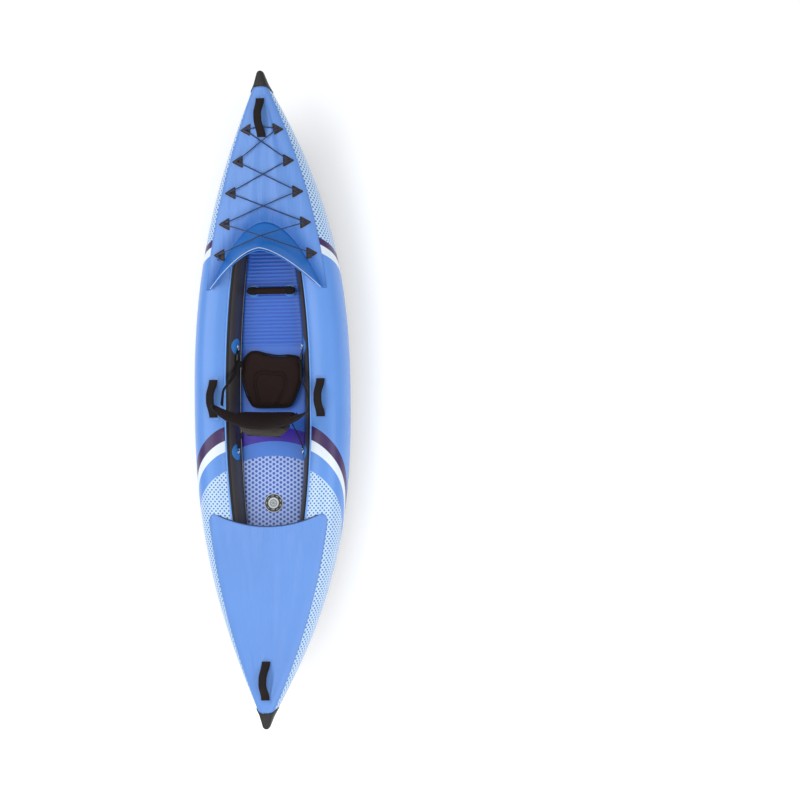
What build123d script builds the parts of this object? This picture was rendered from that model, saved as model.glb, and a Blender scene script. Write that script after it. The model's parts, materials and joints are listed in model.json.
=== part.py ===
from build123d import *
import math
import os

# Inflatable solo kayak. +X runs to the bow, +Y to port, +Z up. The origin is under the middle of the
# hull, at the level of the fin's lowest point. All sizes are in millimetres.

# the whole boat
HULL_LENGTH = 3250
HULL_BEAM = 790
HULL_DEPTH = 272          # from the floor's underside to the top of the tubes, amidships
BOW_RISE = 132            # how far the tube tops sweep up towards the bow
STERN_RISE = 106
BOW_KEEL_LIFT = 336       # how far the tubes' undersides sweep up towards the bow
STERN_KEEL_LIFT = 304

# side tubes
TUBE_PROUD = 14           # the floor hangs this far below the tubes
TUBE_SHARE = 0.28086      # width of one tube over the beam, amidships
TUBE_SQUARENESS = 2.4     # exponent of the tube's rounded section
COVER_WALL = 2.5
BLADDER_GAP = 0.4
CENTRE_GAP = 0.5          # half the gap between port and starboard covers where they meet
CAP_GAP = 0.4
CAP_START = 0.955         # the rubber end caps begin at this share of the half length
BLADDER_END = 0.952
SEAM_DROP = 0.66          # black bottom skin begins this share of the tube's half height below centre
COAMING_LIFT = 0.87       # cockpit edge lies this share of the half height above centre

# floor
FLOOR_THICKNESS = 122
FLOOR_SIDE_GAP = 1.5
FLOOR_EDGE = 16
FLOOR_TO_BOW = 330        # from the bow tip to the floor's front end
FLOOR_TO_STERN = 360
KEEL_FLAT = 0.6           # the underside is flat where the keel rises less than this

# decks
DECK_CLOTH = 2.0
DECK_GAP = 1.5
DECK_SPREAD = 0.84        # share of the half breadth that the deck cloth covers
DECK_CROWN = 6
HOOD_TO_BOW = 745         # from the bow tip to the foot of the splash visor
HOOD_RUN = 330            # how far the foot sweeps back to its tips
HOOD_LEAN = 140           # how far the top edge leans back behind the foot
HOOD_HEIGHT = 140
HOOD_SPREAD = 0.719       # width across the visor's tips over the beam
HOOP_DIAMETER = 6
REAR_DECK_TO_STERN = 995
REAR_DECK_SCOOP = 600     # radius of the rear deck's hollow front edge

# lacing on the foredeck
LACE_PAIRS = 5
LACE_TO_BOW = 291
LACE_PITCH = 153
LACE_CORD = 6
LACE_PATCH = 58
LACE_PATCH_LIFT = 3
LACE_TAIL = 18
LACE_RING_RADIUS = 9
LACE_RING_WIRE = 4
LACE_TURN_RADIUS = 10
LACE_RING_GAP = 0.2
LACE_BOW_AHEAD = 14       # the foremost run bows this far ahead of its rings
LACE_BOW_RISE = 5
LACE_OVER_LACE = 9.6      # the second run passes this high over the first
LACE_OVER_VISOR = 94      # the aftmost crossing rides this high over the visor's slope

# carry handles
HANDLE_LENGTH = 192
HANDLE_WIDTH = 38
HANDLE_RISE = 42
HANDLE_STRAP = 5
HANDLE_FOOT = 26
BOW_HANDLE_TO_TIP = 234
STERN_HANDLE_TO_TIP = 239
SIDE_HANDLE_X = 7
SIDE_HANDLE_INBOARD = 12
PATCH_THICKNESS = 2.0

# seat
SEAT_FRONT = 251
SEAT_REAR = -39
SEAT_THICKNESS = 42
SEAT_WALL_GAP = 17
SEAT_REAR_HALF_WIDTH = 104
SEAT_LOBE = 20
SEAT_CORNER = 45          # the front edge runs back this far to its corners
SEAT_TAPER = 130          # from the front to where the sides begin to narrow
SEAT_GAP = 0.5            # between the seat and the floor
BACK_HINGE_X = -60
BACK_HINGE_LIFT = 8
BACK_HEIGHT = 380
BACK_THICKNESS = 24
BACK_RECLINE = 12
BACK_WALL_GAP = 24
WING_INSET = 50           # the wings end this far inboard of the tube centres
WING_WRAP = 75
POUCH_WIDTH = 216
POUCH_HEIGHT = 126
POUCH_DEPTH = 52
STRAP_WIDTH = 20
STRAP_THICKNESS = 2.5
WALL_PATCH_DIAMETER = 80
WALL_PATCH_FRONT = 270
WALL_PATCH_REAR = -260
WALL_PATCH_LIFT = 50
RING_RADIUS = 14
RING_WIRE = 4
BUCKLE_LENGTH = 34
BUCKLE_MARGIN = 10        # the buckle is this much wider than the strap
STRAP_TURN_RADIUS = 90
SNAP_RADIUS = 6
SNAP_WIRE = 2.4

# footrest
FOOTREST_X = 551
FOOTREST_DIAMETER = 36
FOOTREST_END_GAP = 22.9   # from each end of the footrest to the side wall
FOOTREST_PATCH = 60
FOOTREST_PATCH_Y = 92
LOOP_WIDTH = 25
LOOP_WALL = 2

# valves
VALVE_BARREL = 24
VALVE_BORE = 18
VALVE_DEPTH = 40
FLOOR_VALVE_X = -517
FLOOR_VALVE_FLANGE = 47
SIDE_VALVE_FLANGE = 40
SIDE_VALVE_TO_STERN = 925
VALVE_CLEARANCE = 0.3
VALVE_STANDOFF = 2.2      # side valve flange to the wall's most inboard line
VALVE_FLOOR_GAP = 6
FLANGE_HEIGHT = 4
VALVE_BASE = 4            # thickness of the barrel's closed end
VALVE_PORT_RADIUS = 3.5   # air holes round the plunger's guide
VALVE_PORT_CIRCLE = 11
PLUNGER_STEM = 4
PLUNGER_GUIDE = 4.3
PLUNGER_BUTTON = 8
PLUNGER_SEAL = 16
PLUNGER_DROP = 12         # the button's underside, below the flange
SPRING_RADIUS = 6.2
SPRING_WIRE = 0.6         # radius of the spring's wire
SPRING_TURNS = 5
CAP_RADIUS = 29
CAP_HEIGHT = 5
CAP_PLUG = 15.5
CAP_ARM = 10              # width of the strap between cap and hinge
KNUCKLE_RADIUS = 2.2
HINGE_OFFSET = 35         # cap hinge, behind the bore and above the barrel's mouth
HINGE_HEIGHT = 7

# fin
FIN_X = -553
FIN_ROOT = 128
FIN_DEPTH = 96
FIN_SWEEP = 152
FIN_TIP_LIFT = 8.8        # the hull's sweep tilts the fin's low point up by this much
FIN_BLADE = 6
FIN_FOOT_WIDTH = 12.4
FIN_FOOT_HEIGHT = 7.4
FIN_BOX_LENGTH = 150
FIN_BOX_WALL = 5
FIN_CLEARANCE = 0.3
FIN_PLATE_WIDTH = 64
FIN_PLATE = 3
FIN_STOP = 5              # closed front end of the channel

HALF_LENGTH = HULL_LENGTH / 2
HALF_BEAM = HULL_BEAM / 2
TUBE_FLATNESS = TUBE_SHARE * HULL_BEAM / (HULL_DEPTH - TUBE_PROUD)
HOOD_HALF_WIDTH = HOOD_SPREAD * HALF_BEAM


def share(x):
    return abs(x) / HALF_LENGTH


def half_breadth(x):
    return HALF_BEAM * (1 - share(x) ** 2.4) ** 1.05


def keel_sweep(x):
    lift = BOW_KEEL_LIFT if x > 0 else STERN_KEEL_LIFT
    return lift * share(x) ** 3.1


# height of the floor's underside amidships, so that the fin's lowest point is at zero
KEEL_HEIGHT = FIN_DEPTH - keel_sweep(FIN_X) - FIN_TIP_LIFT


def tube_bottom(x):
    return KEEL_HEIGHT + TUBE_PROUD + keel_sweep(x)


def tube_top(x):
    rise = BOW_RISE if x > 0 else STERN_RISE
    return KEEL_HEIGHT + HULL_DEPTH + rise * share(x) ** 3


def tube_half_height(x):
    return (tube_top(x) - tube_bottom(x)) / 2


def tube_half_width(x):
    return TUBE_FLATNESS * tube_half_height(x)


def tube_centre_y(x):
    return half_breadth(x) - tube_half_width(x)


def tube_centre_z(x):
    return (tube_top(x) + tube_bottom(x)) / 2


def inner_gap(x):
    return half_breadth(x) - 2 * tube_half_width(x)


FOOTREST_LENGTH = 2 * (inner_gap(FOOTREST_X) - FOOTREST_END_GAP)


def floor_bottom(x):
    return KEEL_HEIGHT + keel_sweep(x)


def floor_top(x):
    return floor_bottom(x) + FLOOR_THICKNESS


def tube_skin_z(x, y):
    """Height of the tube's outer surface at a distance y from the centre line, above its middle."""
    across = min(abs(y - tube_centre_y(x)) / tube_half_width(x), 1)
    drop = (1 - across ** TUBE_SQUARENESS) ** (1 / TUBE_SQUARENESS)
    return tube_centre_z(x) + tube_half_height(x) * drop


def tube_skin_y(x, z):
    """Distance from the centre line of the tube's inboard surface at height z."""
    up = min(abs(z - tube_centre_z(x)) / tube_half_height(x), 1)
    out = (1 - up ** TUBE_SQUARENESS) ** (1 / TUBE_SQUARENESS)
    return tube_centre_y(x) - tube_half_width(x) * out


def deck_z(x, y):
    """Underside of the deck cloth: over the tubes, and crowned a little between them."""
    y = abs(y)
    crest = tube_centre_y(x)
    if y >= crest or crest < 5:
        return tube_skin_z(x, y) + DECK_GAP
    crown = DECK_CROWN * min(1, crest / 120)
    return tube_top(x) + DECK_GAP + crown * (1 - (y / crest) ** 2) ** 2


def pieces(shape):
    """The solids of a boolean's result as one shape."""
    found = shape.solids()
    return found[0] if len(found) == 1 else Compound(children=list(found))


def both_sides(shape):
    """A port piece and its mirrored starboard twin."""
    twin = mirror(shape, about=Plane.XZ)
    return Compound(children=[*shape.solids(), *twin.solids()])


def starboard(shape):
    return pieces(mirror(shape, about=Plane.XZ))


# ------------------------------------------------------------------ hull

TUBE_STATIONS = [0, 0.25, 0.45, 0.6, 0.72, 0.82, 0.9]


def along_hull(shares):
    """Stations from stern to bow for a list of shares of the half length."""
    back = [-s * HALF_LENGTH for s in reversed(shares) if s > 0]
    return back + [s * HALF_LENGTH for s in shares]


def tube_section(x, grow):
    rx = tube_half_width(x) + grow
    rz = tube_half_height(x) + grow
    points = []
    for step in range(20):
        turn = 2 * math.pi * step / 20
        cos, sin = math.cos(turn), math.sin(turn)
        y = math.copysign(abs(cos) ** (2 / TUBE_SQUARENESS), cos) * rx
        z = math.copysign(abs(sin) ** (2 / TUBE_SQUARENESS), sin) * rz
        points.append((x, tube_centre_y(x) + y, tube_centre_z(x) + z))
    return Wire([Edge.make_spline([Vector(*p) for p in points], periodic=True)])


def port_tube(grow, centre_gap, reach=CAP_START):
    """The port tube as a solid, grown outwards and kept clear of the centre plane."""
    whole = Solid.make_loft([tube_section(x, grow) for x in along_hull(TUBE_STATIONS + [reach])])
    side = Pos(0, centre_gap + HULL_BEAM / 2, KEEL_HEIGHT) * Box(HULL_LENGTH * 2, HULL_BEAM, HULL_LENGTH)
    return pieces(whole & side)


def below(height):
    """Everything below a height that changes along the hull."""
    ends = along_hull([0, 0.3, 0.5, 0.7, 0.85, 1])
    top = Spline(*[(x, height(x)) for x in ends])
    low = -HULL_DEPTH
    sides = Polyline(top @ 1, (HALF_LENGTH, low), (-HALF_LENGTH, low), top @ 0)
    face = Plane.XZ * make_face([top, sides])
    return extrude(face, HULL_BEAM, both=True)


def inboard_of_tube():
    """Everything between the two tube centre lines."""
    ends = along_hull([0, 0.25, 0.45, 0.6, 0.72, 0.8])
    edge = Spline(*[(x, tube_centre_y(x)) for x in ends])
    foot = Polyline(edge @ 1, (ends[-1], -1), (ends[0], -1), edge @ 0)
    return extrude(make_face([edge, foot]), HULL_LENGTH, both=True)


def seam_z(x):
    return tube_centre_z(x) - SEAM_DROP * tube_half_height(x)


def coaming_z(x):
    return tube_centre_z(x) + COAMING_LIFT * tube_half_height(x)


def side_valve_x():
    return SIDE_VALVE_TO_STERN - HALF_LENGTH


def side_valve_place():
    """Port side valve: on the inner wall above the floor, behind the cockpit, facing inboard."""
    x = side_valve_x()
    slope = (inner_gap(x + 20) - inner_gap(x - 20)) / 40
    turn = math.degrees(math.atan(slope))
    y = inner_gap(x) - VALVE_STANDOFF
    z = floor_top(x) + SIDE_VALVE_FLANGE + VALVE_FLOOR_GAP
    return Pos(x, y, z) * Rot(0, 0, turn) * Rot(90, 0, 0)


def valve_hole(place, radius, depth):
    return place * Pos(0, 0, -depth / 2) * Cylinder(radius, depth)


def tube_covers():
    """The port cover in three panels: blue side, dark inner wall and black bottom skin."""
    cavity = port_tube(-COVER_WALL, CENTRE_GAP + COVER_WALL)
    shell = port_tube(0, CENTRE_GAP) - cavity
    hole = valve_hole(side_valve_place(), VALVE_BARREL + VALVE_CLEARANCE, 30)
    bottom_tool = below(seam_z)
    upper = shell - bottom_tool
    wall_tool = inboard_of_tube() & below(coaming_z)
    return {
        "port_bottom_skin": pieces(shell & bottom_tool),
        "port_side_cover": pieces(upper - wall_tool),
        "port_inner_wall": pieces((upper & wall_tool) - hole),
    }


def air_chamber():
    """The port bladder, just inside the cover, with a pocket where the valve sits."""
    inset = COVER_WALL + BLADDER_GAP
    bladder = port_tube(-inset, CENTRE_GAP + inset, BLADDER_END)
    pocket = valve_hole(side_valve_place(), VALVE_BARREL + VALVE_CLEARANCE, VALVE_DEPTH + 16)
    return pieces(bladder - pocket)


def floor_section(x):
    half = inner_gap(x) - FLOOR_SIDE_GAP
    low, high = floor_bottom(x), floor_top(x)
    edge = min(FLOOR_EDGE, half / 3)
    outline = RectangleRounded(2 * half, high - low, edge)
    return (Plane.YZ.offset(x) * Pos(0, (low + high) / 2) * outline).face().outer_wire()


def floor_chamber():
    """Drop-stitch floor, with a flat underside amidships and a pocket for its valve."""
    front = HALF_LENGTH - FLOOR_TO_BOW
    rear = FLOOR_TO_STERN - HALF_LENGTH
    stations = [rear, rear * 0.85, rear * 0.65, rear * 0.4, rear * 0.2, 0]
    stations += [front * 0.2, front * 0.4, front * 0.65, front * 0.85, front]
    body = Solid.make_loft([floor_section(x) for x in stations])
    trim = Pos(0, 0, KEEL_HEIGHT + KEEL_FLAT - HULL_DEPTH / 2) * Box(HULL_LENGTH, HULL_BEAM, HULL_DEPTH)
    pocket = valve_hole(floor_valve_place(), VALVE_BARREL + VALVE_CLEARANCE, VALVE_DEPTH + 16)
    return pieces(body - trim - pocket)


def end_cap(sign):
    """Rubber nose that closes one end of the hull."""
    start = CAP_START * HALF_LENGTH * sign
    tip = HALF_LENGTH * sign
    run = tip - start
    z_slope = (tube_centre_z(start) - tube_centre_z(start - 10 * sign)) / (10 * sign)
    wires = []
    for part, size in ((0, 1.04), (0.35, 0.82), (0.7, 0.5), (0.9, 0.28), (1, 0.1)):
        x = start + CAP_GAP * sign + (run - CAP_GAP * sign) * part
        z = tube_centre_z(start) + z_slope * (x - start)
        outline = Ellipse(half_breadth(start) * size, tube_half_height(start) * size)
        wires.append((Plane.YZ.offset(x) * Pos(0, z) * outline).face().outer_wire())
    return Solid.make_loft(wires)


# ------------------------------------------------------------------ decks

def cloth_section(x, half, lift):
    """A closed strip of deck cloth across the hull at x."""
    shares = [-1, -0.85, -0.65, -0.35, 0, 0.35, 0.65, 0.85, 1]
    under = [Vector(x, half * s, deck_z(x, half * s) + lift) for s in shares]
    over = [p + Vector(0, 0, DECK_CLOTH) for p in under]
    low = Edge.make_spline(under)
    high = Edge.make_spline(over)
    return Wire([low, Edge.make_line(under[-1], over[-1]), high, Edge.make_line(over[0], under[0])])


def hood_foot_x(y):
    return HALF_LENGTH - HOOD_TO_BOW - HOOD_RUN * (abs(y) / HOOD_HALF_WIDTH) ** 1.9


def hood_edge(y):
    """Top edge of the splash visor at a distance y from the centre line."""
    low = (abs(y) / HOOD_HALF_WIDTH) ** 1.55
    peak_x = HALF_LENGTH - HOOD_TO_BOW - HOOD_LEAN
    x = peak_x - (HOOD_RUN - HOOD_LEAN) * low
    z = tube_top(peak_x) + DECK_GAP + DECK_CLOTH + 6 + HOOD_HEIGHT * (1 - low)
    return x, z


def foredeck():
    front = (CAP_START - 0.006) * HALF_LENGTH
    rear = HALF_LENGTH - HOOD_TO_BOW - HOOD_RUN
    stations = [rear + (front - rear) * s for s in (0, 0.2, 0.4, 0.6, 0.75, 0.88, 1)]
    cloth = Solid.make_loft([cloth_section(x, DECK_SPREAD * half_breadth(x), 0) for x in stations])
    ys = [HOOD_HALF_WIDTH * s for s in (-1, -0.75, -0.5, -0.25, 0, 0.25, 0.5, 0.75, 1)]
    mouth = Spline(*[(hood_foot_x(y) - 8, y) for y in ys])
    corners = [(rear, HALF_BEAM), (0, HALF_BEAM), (0, -HALF_BEAM), (rear, -HALF_BEAM)]
    back = Polyline(mouth @ 1, *corners, mouth @ 0)
    opening = extrude(make_face([mouth, back]), HULL_LENGTH, both=True)
    return pieces(cloth - opening)


def rear_deck():
    front = REAR_DECK_TO_STERN + 70 - HALF_LENGTH
    rear = -(CAP_START - 0.006) * HALF_LENGTH
    stations = [front + (rear - front) * s for s in (0, 0.2, 0.4, 0.6, 0.75, 0.88, 1)]
    cloth = Solid.make_loft([cloth_section(x, DECK_SPREAD * half_breadth(x), 0) for x in stations])
    middle = REAR_DECK_TO_STERN - HALF_LENGTH + REAR_DECK_SCOOP
    scoop = Pos(middle, 0, HULL_DEPTH) * Cylinder(REAR_DECK_SCOOP, HULL_LENGTH)
    return pieces(cloth - scoop)


def splash_visor():
    """Raised collar of deck cloth in front of the cockpit."""
    wires = []
    lean = 1.5
    for part in (-0.97, -0.8, -0.6, -0.4, -0.2, 0, 0.2, 0.4, 0.6, 0.8, 0.97):
        y = HOOD_HALF_WIDTH * part
        foot_x = hood_foot_x(y)
        foot_z = deck_z(foot_x, y) + DECK_CLOTH + lean
        edge_x, edge_z = hood_edge(y)
        foot, edge = Vector(foot_x, y, foot_z), Vector(edge_x, y, edge_z)
        back = Vector(-DECK_CLOTH * 1.2, 0, 0)
        corners = [foot, edge, edge + back, foot + back]
        lines = [Edge.make_line(corners[i], corners[(i + 1) % 4]) for i in range(4)]
        wires.append(Wire(lines))
    return Solid.make_loft(wires)


def visor_hoop():
    """Springy rod behind the visor's top edge that holds it up."""
    inset = HOOP_DIAMETER / 2 + DECK_CLOTH * 1.2 + 1
    points = []
    for part in (-0.9, -0.7, -0.48, -0.25, 0, 0.25, 0.48, 0.7, 0.9):
        x, z = hood_edge(HOOD_HALF_WIDTH * part)
        points.append((x - inset, HOOD_HALF_WIDTH * part, z - inset))
    path = FilletPolyline(*points, radius=corner_radii(points, HOOD_HALF_WIDTH))
    return rod(path, HOOP_DIAMETER)


def corner_radii(points, largest):
    """As large an arc at each corner as its two runs allow."""
    radii = []
    for i in range(1, len(points) - 1):
        before = Vector(*points[i]) - Vector(*points[i - 1])
        after = Vector(*points[i + 1]) - Vector(*points[i])
        turn = math.radians(before.get_angle(after))
        reach = 0.45 * min(before.length, after.length) / math.tan(turn / 2)
        radii.append(min(reach, largest))
    return radii


def rod(path, diameter):
    """A round rod along a path, with its volume checked against section times length."""
    start = Plane(origin=path @ 0, z_dir=path % 0)
    solid = pieces(sweep(start * Circle(diameter / 2), path=path))
    expected = math.pi * diameter ** 2 / 4 * path.length
    print(f"rod {diameter} mm: {path.length:.0f} mm long, volume {solid.volume / expected:.3f} of expected")
    return solid


# ------------------------------------------------------------------ lacing

def lace_places():
    """Middle of each port lacing patch, from the bow aft: x and y."""
    places = []
    for pair in range(LACE_PAIRS):
        x = HALF_LENGTH - LACE_TO_BOW - LACE_PITCH * pair
        places.append((x, tube_centre_y(x) + 4))
    return places


def lace_patch_top(x, y):
    return deck_z(x, y) + DECK_CLOTH + LACE_PATCH_LIFT + PATCH_THICKNESS


def lacing_patches():
    """Triangles welded on the deck edge, points outboard, each with its cord ring."""
    patches, rings = [], []
    for x, y in lace_places():
        side = LACE_PATCH
        outline = Polyline((-side / 2, -side * 0.4), (side / 2, -side * 0.4), (0, side * 0.45), close=True)
        plate = extrude(fillet(make_face(outline).vertices(), 4), PATCH_THICKNESS)
        slope = (tube_top(x + 30) - tube_top(x - 30)) / 60
        tilt = -math.degrees(math.atan(slope))
        place = Pos(x, y, lace_patch_top(x, y) - PATCH_THICKNESS) * Rot(0, tilt, 0)
        patches += (place * plate).solids()
        lift = PATCH_THICKNESS + LACE_RING_GAP + LACE_RING_RADIUS + LACE_RING_WIRE / 2
        ring = place * Pos(0, 0, lift) * Rot(0, 90, 0) * Torus(LACE_RING_RADIUS, LACE_RING_WIRE / 2)
        rings += ring.solids()
    return both_sides(Compound(children=patches)), both_sides(Compound(children=rings))


def lace_route():
    """Cord points from the aftmost port ring, zigzag to the bow and back to the aftmost starboard ring."""
    lift = LACE_RING_GAP + LACE_RING_RADIUS + LACE_RING_WIRE / 2
    rings = [(x, y, lace_patch_top(x, y) + lift) for x, y in lace_places()]
    order = list(range(LACE_PAIRS - 1, -1, -1)) + list(range(LACE_PAIRS))
    last_x, last_y, last_z = rings[-1]
    points = []
    at_ring = []
    side = 1
    for step, pair in enumerate(order):
        x, y, z = rings[pair]
        here = (x, y * side, z)
        if step > 0 and pair != order[step - 1]:
            last = points[-1]
            over = LACE_OVER_LACE if step > LACE_PAIRS else 0.6
            if LACE_PAIRS - 1 in (pair, order[step - 1]):
                over += LACE_OVER_VISOR
            split = -last[1] / (here[1] - last[1])
            cross_x = last[0] + (here[0] - last[0]) * split
            points.append((cross_x, 0, (last[2] + here[2]) / 2 + over))
        elif step > 0:
            points.append((x + LACE_BOW_AHEAD, 0, z + LACE_BOW_RISE))
        at_ring.append(len(points))
        points.append(here)
        side = -side
    tails = [(last_x - LACE_TAIL, last_y * s, last_z) for s in (1, -1)]
    points = [tails[0]] + points + [tails[1]]
    return [outside_turn(points, i) if i - 1 in at_ring else points[i] for i in range(len(points))]


def outside_turn(points, i):
    """Moves a corner out so that the middle of its arc, not the corner, passes through the ring."""
    here = Vector(*points[i])
    before = (Vector(*points[i - 1]) - here).normalized()
    after = (Vector(*points[i + 1]) - here).normalized()
    turn = math.pi - math.radians(before.get_angle(after))
    shift = LACE_TURN_RADIUS * (1 / math.cos(turn / 2) - 1)
    return tuple(here - (before + after).normalized() * shift)


def deck_lacing():
    points = lace_route()
    radii = corner_radii(points, LACE_TURN_RADIUS)
    print("lacing radii", [round(r, 1) for r in radii])
    return rod(FilletPolyline(*points, radius=radii), LACE_CORD)


def lacing_knots():
    points = lace_route()
    knots = []
    for end, before in ((points[0], points[1]), (points[-1], points[-2])):
        away = (Vector(*end) - Vector(*before)).normalized()
        middle = Vector(*end) + away * (LACE_CORD + 0.3)
        knots.append(Pos(*tuple(middle)) * Sphere(LACE_CORD))
    return Compound(children=[k.solid() for k in knots])


# ------------------------------------------------------------------ handles

def arch_line(half, crest):
    shoulder_x, shoulder_z = half * 0.72, crest * 0.62
    return Spline((-half, 0), (-shoulder_x, shoulder_z), (0, crest), (shoulder_x, shoulder_z), (half, 0))


def handle_strap():
    """A webbing handle: two flat feet and an arched grip, along X, standing on z = 0."""
    half = HANDLE_LENGTH / 2
    grip = half - HANDLE_FOOT
    outer = arch_line(grip, HANDLE_RISE)
    inner = arch_line(grip - HANDLE_STRAP * 1.3, HANDLE_RISE - HANDLE_STRAP)
    face = make_face([outer, Line(outer @ 1, inner @ 1), inner, Line(inner @ 0, outer @ 0)])
    arch = extrude(Plane.XZ * face, HANDLE_WIDTH / 2, both=True)
    foot = Box(HANDLE_FOOT + 4, HANDLE_WIDTH, HANDLE_STRAP, align=(Align.CENTER, Align.CENTER, Align.MIN))
    feet = [Pos(sign * (half - HANDLE_FOOT / 2), 0, 0) * foot for sign in (-1, 1)]
    return pieces(arch + feet[0] + feet[1])


def handle_patches():
    """The welded pads under the handle's two feet, in the handle's own frame."""
    pad = extrude(RectangleRounded(HANDLE_FOOT + 22, HANDLE_WIDTH + 14, 8), PATCH_THICKNESS)
    reach = HANDLE_LENGTH / 2 - HANDLE_FOOT / 2
    place = -PATCH_THICKNESS - 0.3
    return Compound(children=[(Pos(sign * reach, 0, place) * pad).solid() for sign in (-1, 1)])


def handle_place(x, y, lift):
    """Where a handle stands: its feet just above the skin, tilted along the sheer."""
    reach = HANDLE_LENGTH / 2
    front, rear = deck_z(x + reach, y), deck_z(x - reach, y)
    sag = deck_z(x, y) - (front + rear) / 2
    height = (front + rear) / 2 + max(sag, 0) + lift
    return Pos(x, y, height) * Rot(0, -math.degrees(math.atan((front - rear) / (2 * reach))), 0)


def handles():
    made = {}
    strap, pads = handle_strap(), handle_patches()
    on_deck = DECK_CLOTH + PATCH_THICKNESS + 2.4
    bow = handle_place(HALF_LENGTH - BOW_HANDLE_TO_TIP, 0, on_deck)
    stern = handle_place(STERN_HANDLE_TO_TIP - HALF_LENGTH, 0, on_deck)
    side_y = tube_centre_y(SIDE_HANDLE_X) - SIDE_HANDLE_INBOARD
    side = handle_place(SIDE_HANDLE_X, side_y, PATCH_THICKNESS + 0.6)
    for name, place in (("bow", bow), ("stern", stern), ("port", side)):
        made[f"{name}_handle"] = pieces(place * strap)
        made[f"{name}_handle_pads"] = pieces(place * pads)
    made["starboard_handle"] = starboard(made["port_handle"])
    made["starboard_handle_pads"] = starboard(made["port_handle_pads"])
    return made


# ------------------------------------------------------------------ seat

def seat_top():
    return floor_top(0) + KEEL_FLAT + SEAT_GAP + SEAT_THICKNESS


def seat_base():
    half = inner_gap(SEAT_FRONT) - SEAT_WALL_GAP
    front = Spline(
        (SEAT_FRONT - SEAT_CORNER, half), (SEAT_FRONT - 6, half * 0.62), (SEAT_FRONT - SEAT_LOBE, 0),
        (SEAT_FRONT - 6, -half * 0.62), (SEAT_FRONT - SEAT_CORNER, -half),
    )
    rest = Polyline(
        front @ 1, (SEAT_FRONT - SEAT_TAPER, -half), (SEAT_REAR, -SEAT_REAR_HALF_WIDTH),
        (SEAT_REAR, SEAT_REAR_HALF_WIDTH), (SEAT_FRONT - SEAT_TAPER, half), front @ 0,
    )
    pad = extrude(make_face([front, rest]), SEAT_THICKNESS)
    pad = fillet(pad.faces().sort_by(Axis.Z)[-1].edges(), 10)
    return pieces(Pos(0, 0, floor_top(0) + KEEL_FLAT + SEAT_GAP) * pad)


def back_place():
    """Frame of the backrest: on its hinge line, leaning back."""
    return Pos(BACK_HINGE_X, 0, seat_top() + BACK_HINGE_LIFT) * Rot(0, -BACK_RECLINE, 0)


def back_section(height, half, wrap, thickness):
    """Level slice of the backrest, its edges wrapped forwards."""
    shares = (-1, -0.6, 0, 0.6, 1)
    front = [Vector(wrap * s * s, half * s, height) for s in shares]
    rear = [p - Vector(thickness, 0, 0) for p in front]
    face, hide = Edge.make_spline(front), Edge.make_spline(rear)
    return Wire([face, Edge.make_line(front[-1], rear[-1]), hide, Edge.make_line(rear[0], front[0])])


def backrest():
    """Padded panel, narrow between the tubes and winged above them."""
    low = inner_gap(0) - BACK_WALL_GAP
    wing = tube_centre_y(0) - WING_INSET
    thick = BACK_THICKNESS
    wires = [
        back_section(6, low - 18, 0, thick),
        back_section(90, low - 2, 14, thick),
        back_section(175, low, 22, thick),
        back_section(232, wing - 22, WING_WRAP - 20, thick),
        back_section(275, wing, WING_WRAP, thick - 2),
        back_section(325, wing - 12, WING_WRAP - 8, thick - 5),
        back_section(362, wing - 62, WING_WRAP - 35, thick - 10),
        back_section(BACK_HEIGHT, wing - 120, WING_WRAP - 58, thick - 16),
    ]
    return pieces(back_place() * Solid.make_loft(wires))


def back_pouch():
    pouch = Box(POUCH_DEPTH, POUCH_WIDTH, POUCH_HEIGHT, align=(Align.MAX, Align.CENTER, Align.MIN))
    pouch = fillet(pouch.faces().sort_by(Axis.X)[0].edges(), 18)
    return pieces(back_place() * Pos(-BACK_THICKNESS - 1.5, 0, 104) * pouch)


def ring_place(x):
    """Where a seat ring hangs on the port inner wall."""
    z = tube_centre_z(x) + WALL_PATCH_LIFT
    y = tube_skin_y(x, z) - PATCH_THICKNESS - RING_WIRE / 2 - 5
    return Vector(x, y, z)


def wall_patches():
    outer = port_tube(PATCH_THICKNESS + 0.3, CENTRE_GAP)
    inner = port_tube(0.3, CENTRE_GAP)
    shell = outer - inner
    found = []
    for x in (WALL_PATCH_FRONT, WALL_PATCH_REAR):
        middle = ring_place(x)
        disc = Pos(x, middle.Y, middle.Z) * Rot(90, 0, 0) * Cylinder(WALL_PATCH_DIAMETER / 2, 60)
        found += (shell & disc).solids()
    return both_sides(Compound(children=found))


def wall_rings():
    found = []
    for x in (WALL_PATCH_FRONT, WALL_PATCH_REAR):
        middle = ring_place(x)
        ring = Pos(*tuple(middle)) * Rot(90, 0, 0) * Torus(RING_RADIUS, RING_WIRE / 2)
        found += ring.solids()
    return both_sides(Compound(children=found))


def webbing(points):
    """A flat strap along straight runs and arcs, its width upright."""
    path = FilletPolyline(*points, radius=corner_radii(points, STRAP_TURN_RADIUS))
    start = Plane(origin=path @ 0, z_dir=path % 0, x_dir=(0, 0, 1))
    section = start * Rectangle(STRAP_WIDTH, STRAP_THICKNESS)
    return pieces(sweep(section, path=path))


def front_strap_points():
    ring = ring_place(WALL_PATCH_FRONT)
    wing_y = tube_centre_y(0) - WING_INSET - 16
    top = tube_top(0)
    return [
        (ring.X - RING_RADIUS - 6, ring.Y, ring.Z),
        (ring.X - 110, ring.Y - 2, ring.Z + 26),
        (ring.X - 175, ring.Y + 16, top + 26),
        (ring.X - 228, wing_y - 8, top + 38),
        (ring.X - 280, wing_y, top + 34),
    ]


def rear_strap_points():
    ring = ring_place(WALL_PATCH_REAR)
    high = ring.Z + 34
    return [
        (ring.X + RING_RADIUS + 6, ring.Y, ring.Z),
        (ring.X + 70, ring.Y - 14, ring.Z + 22),
        (ring.X + 124, ring.Y - 40, high),
    ]


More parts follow.
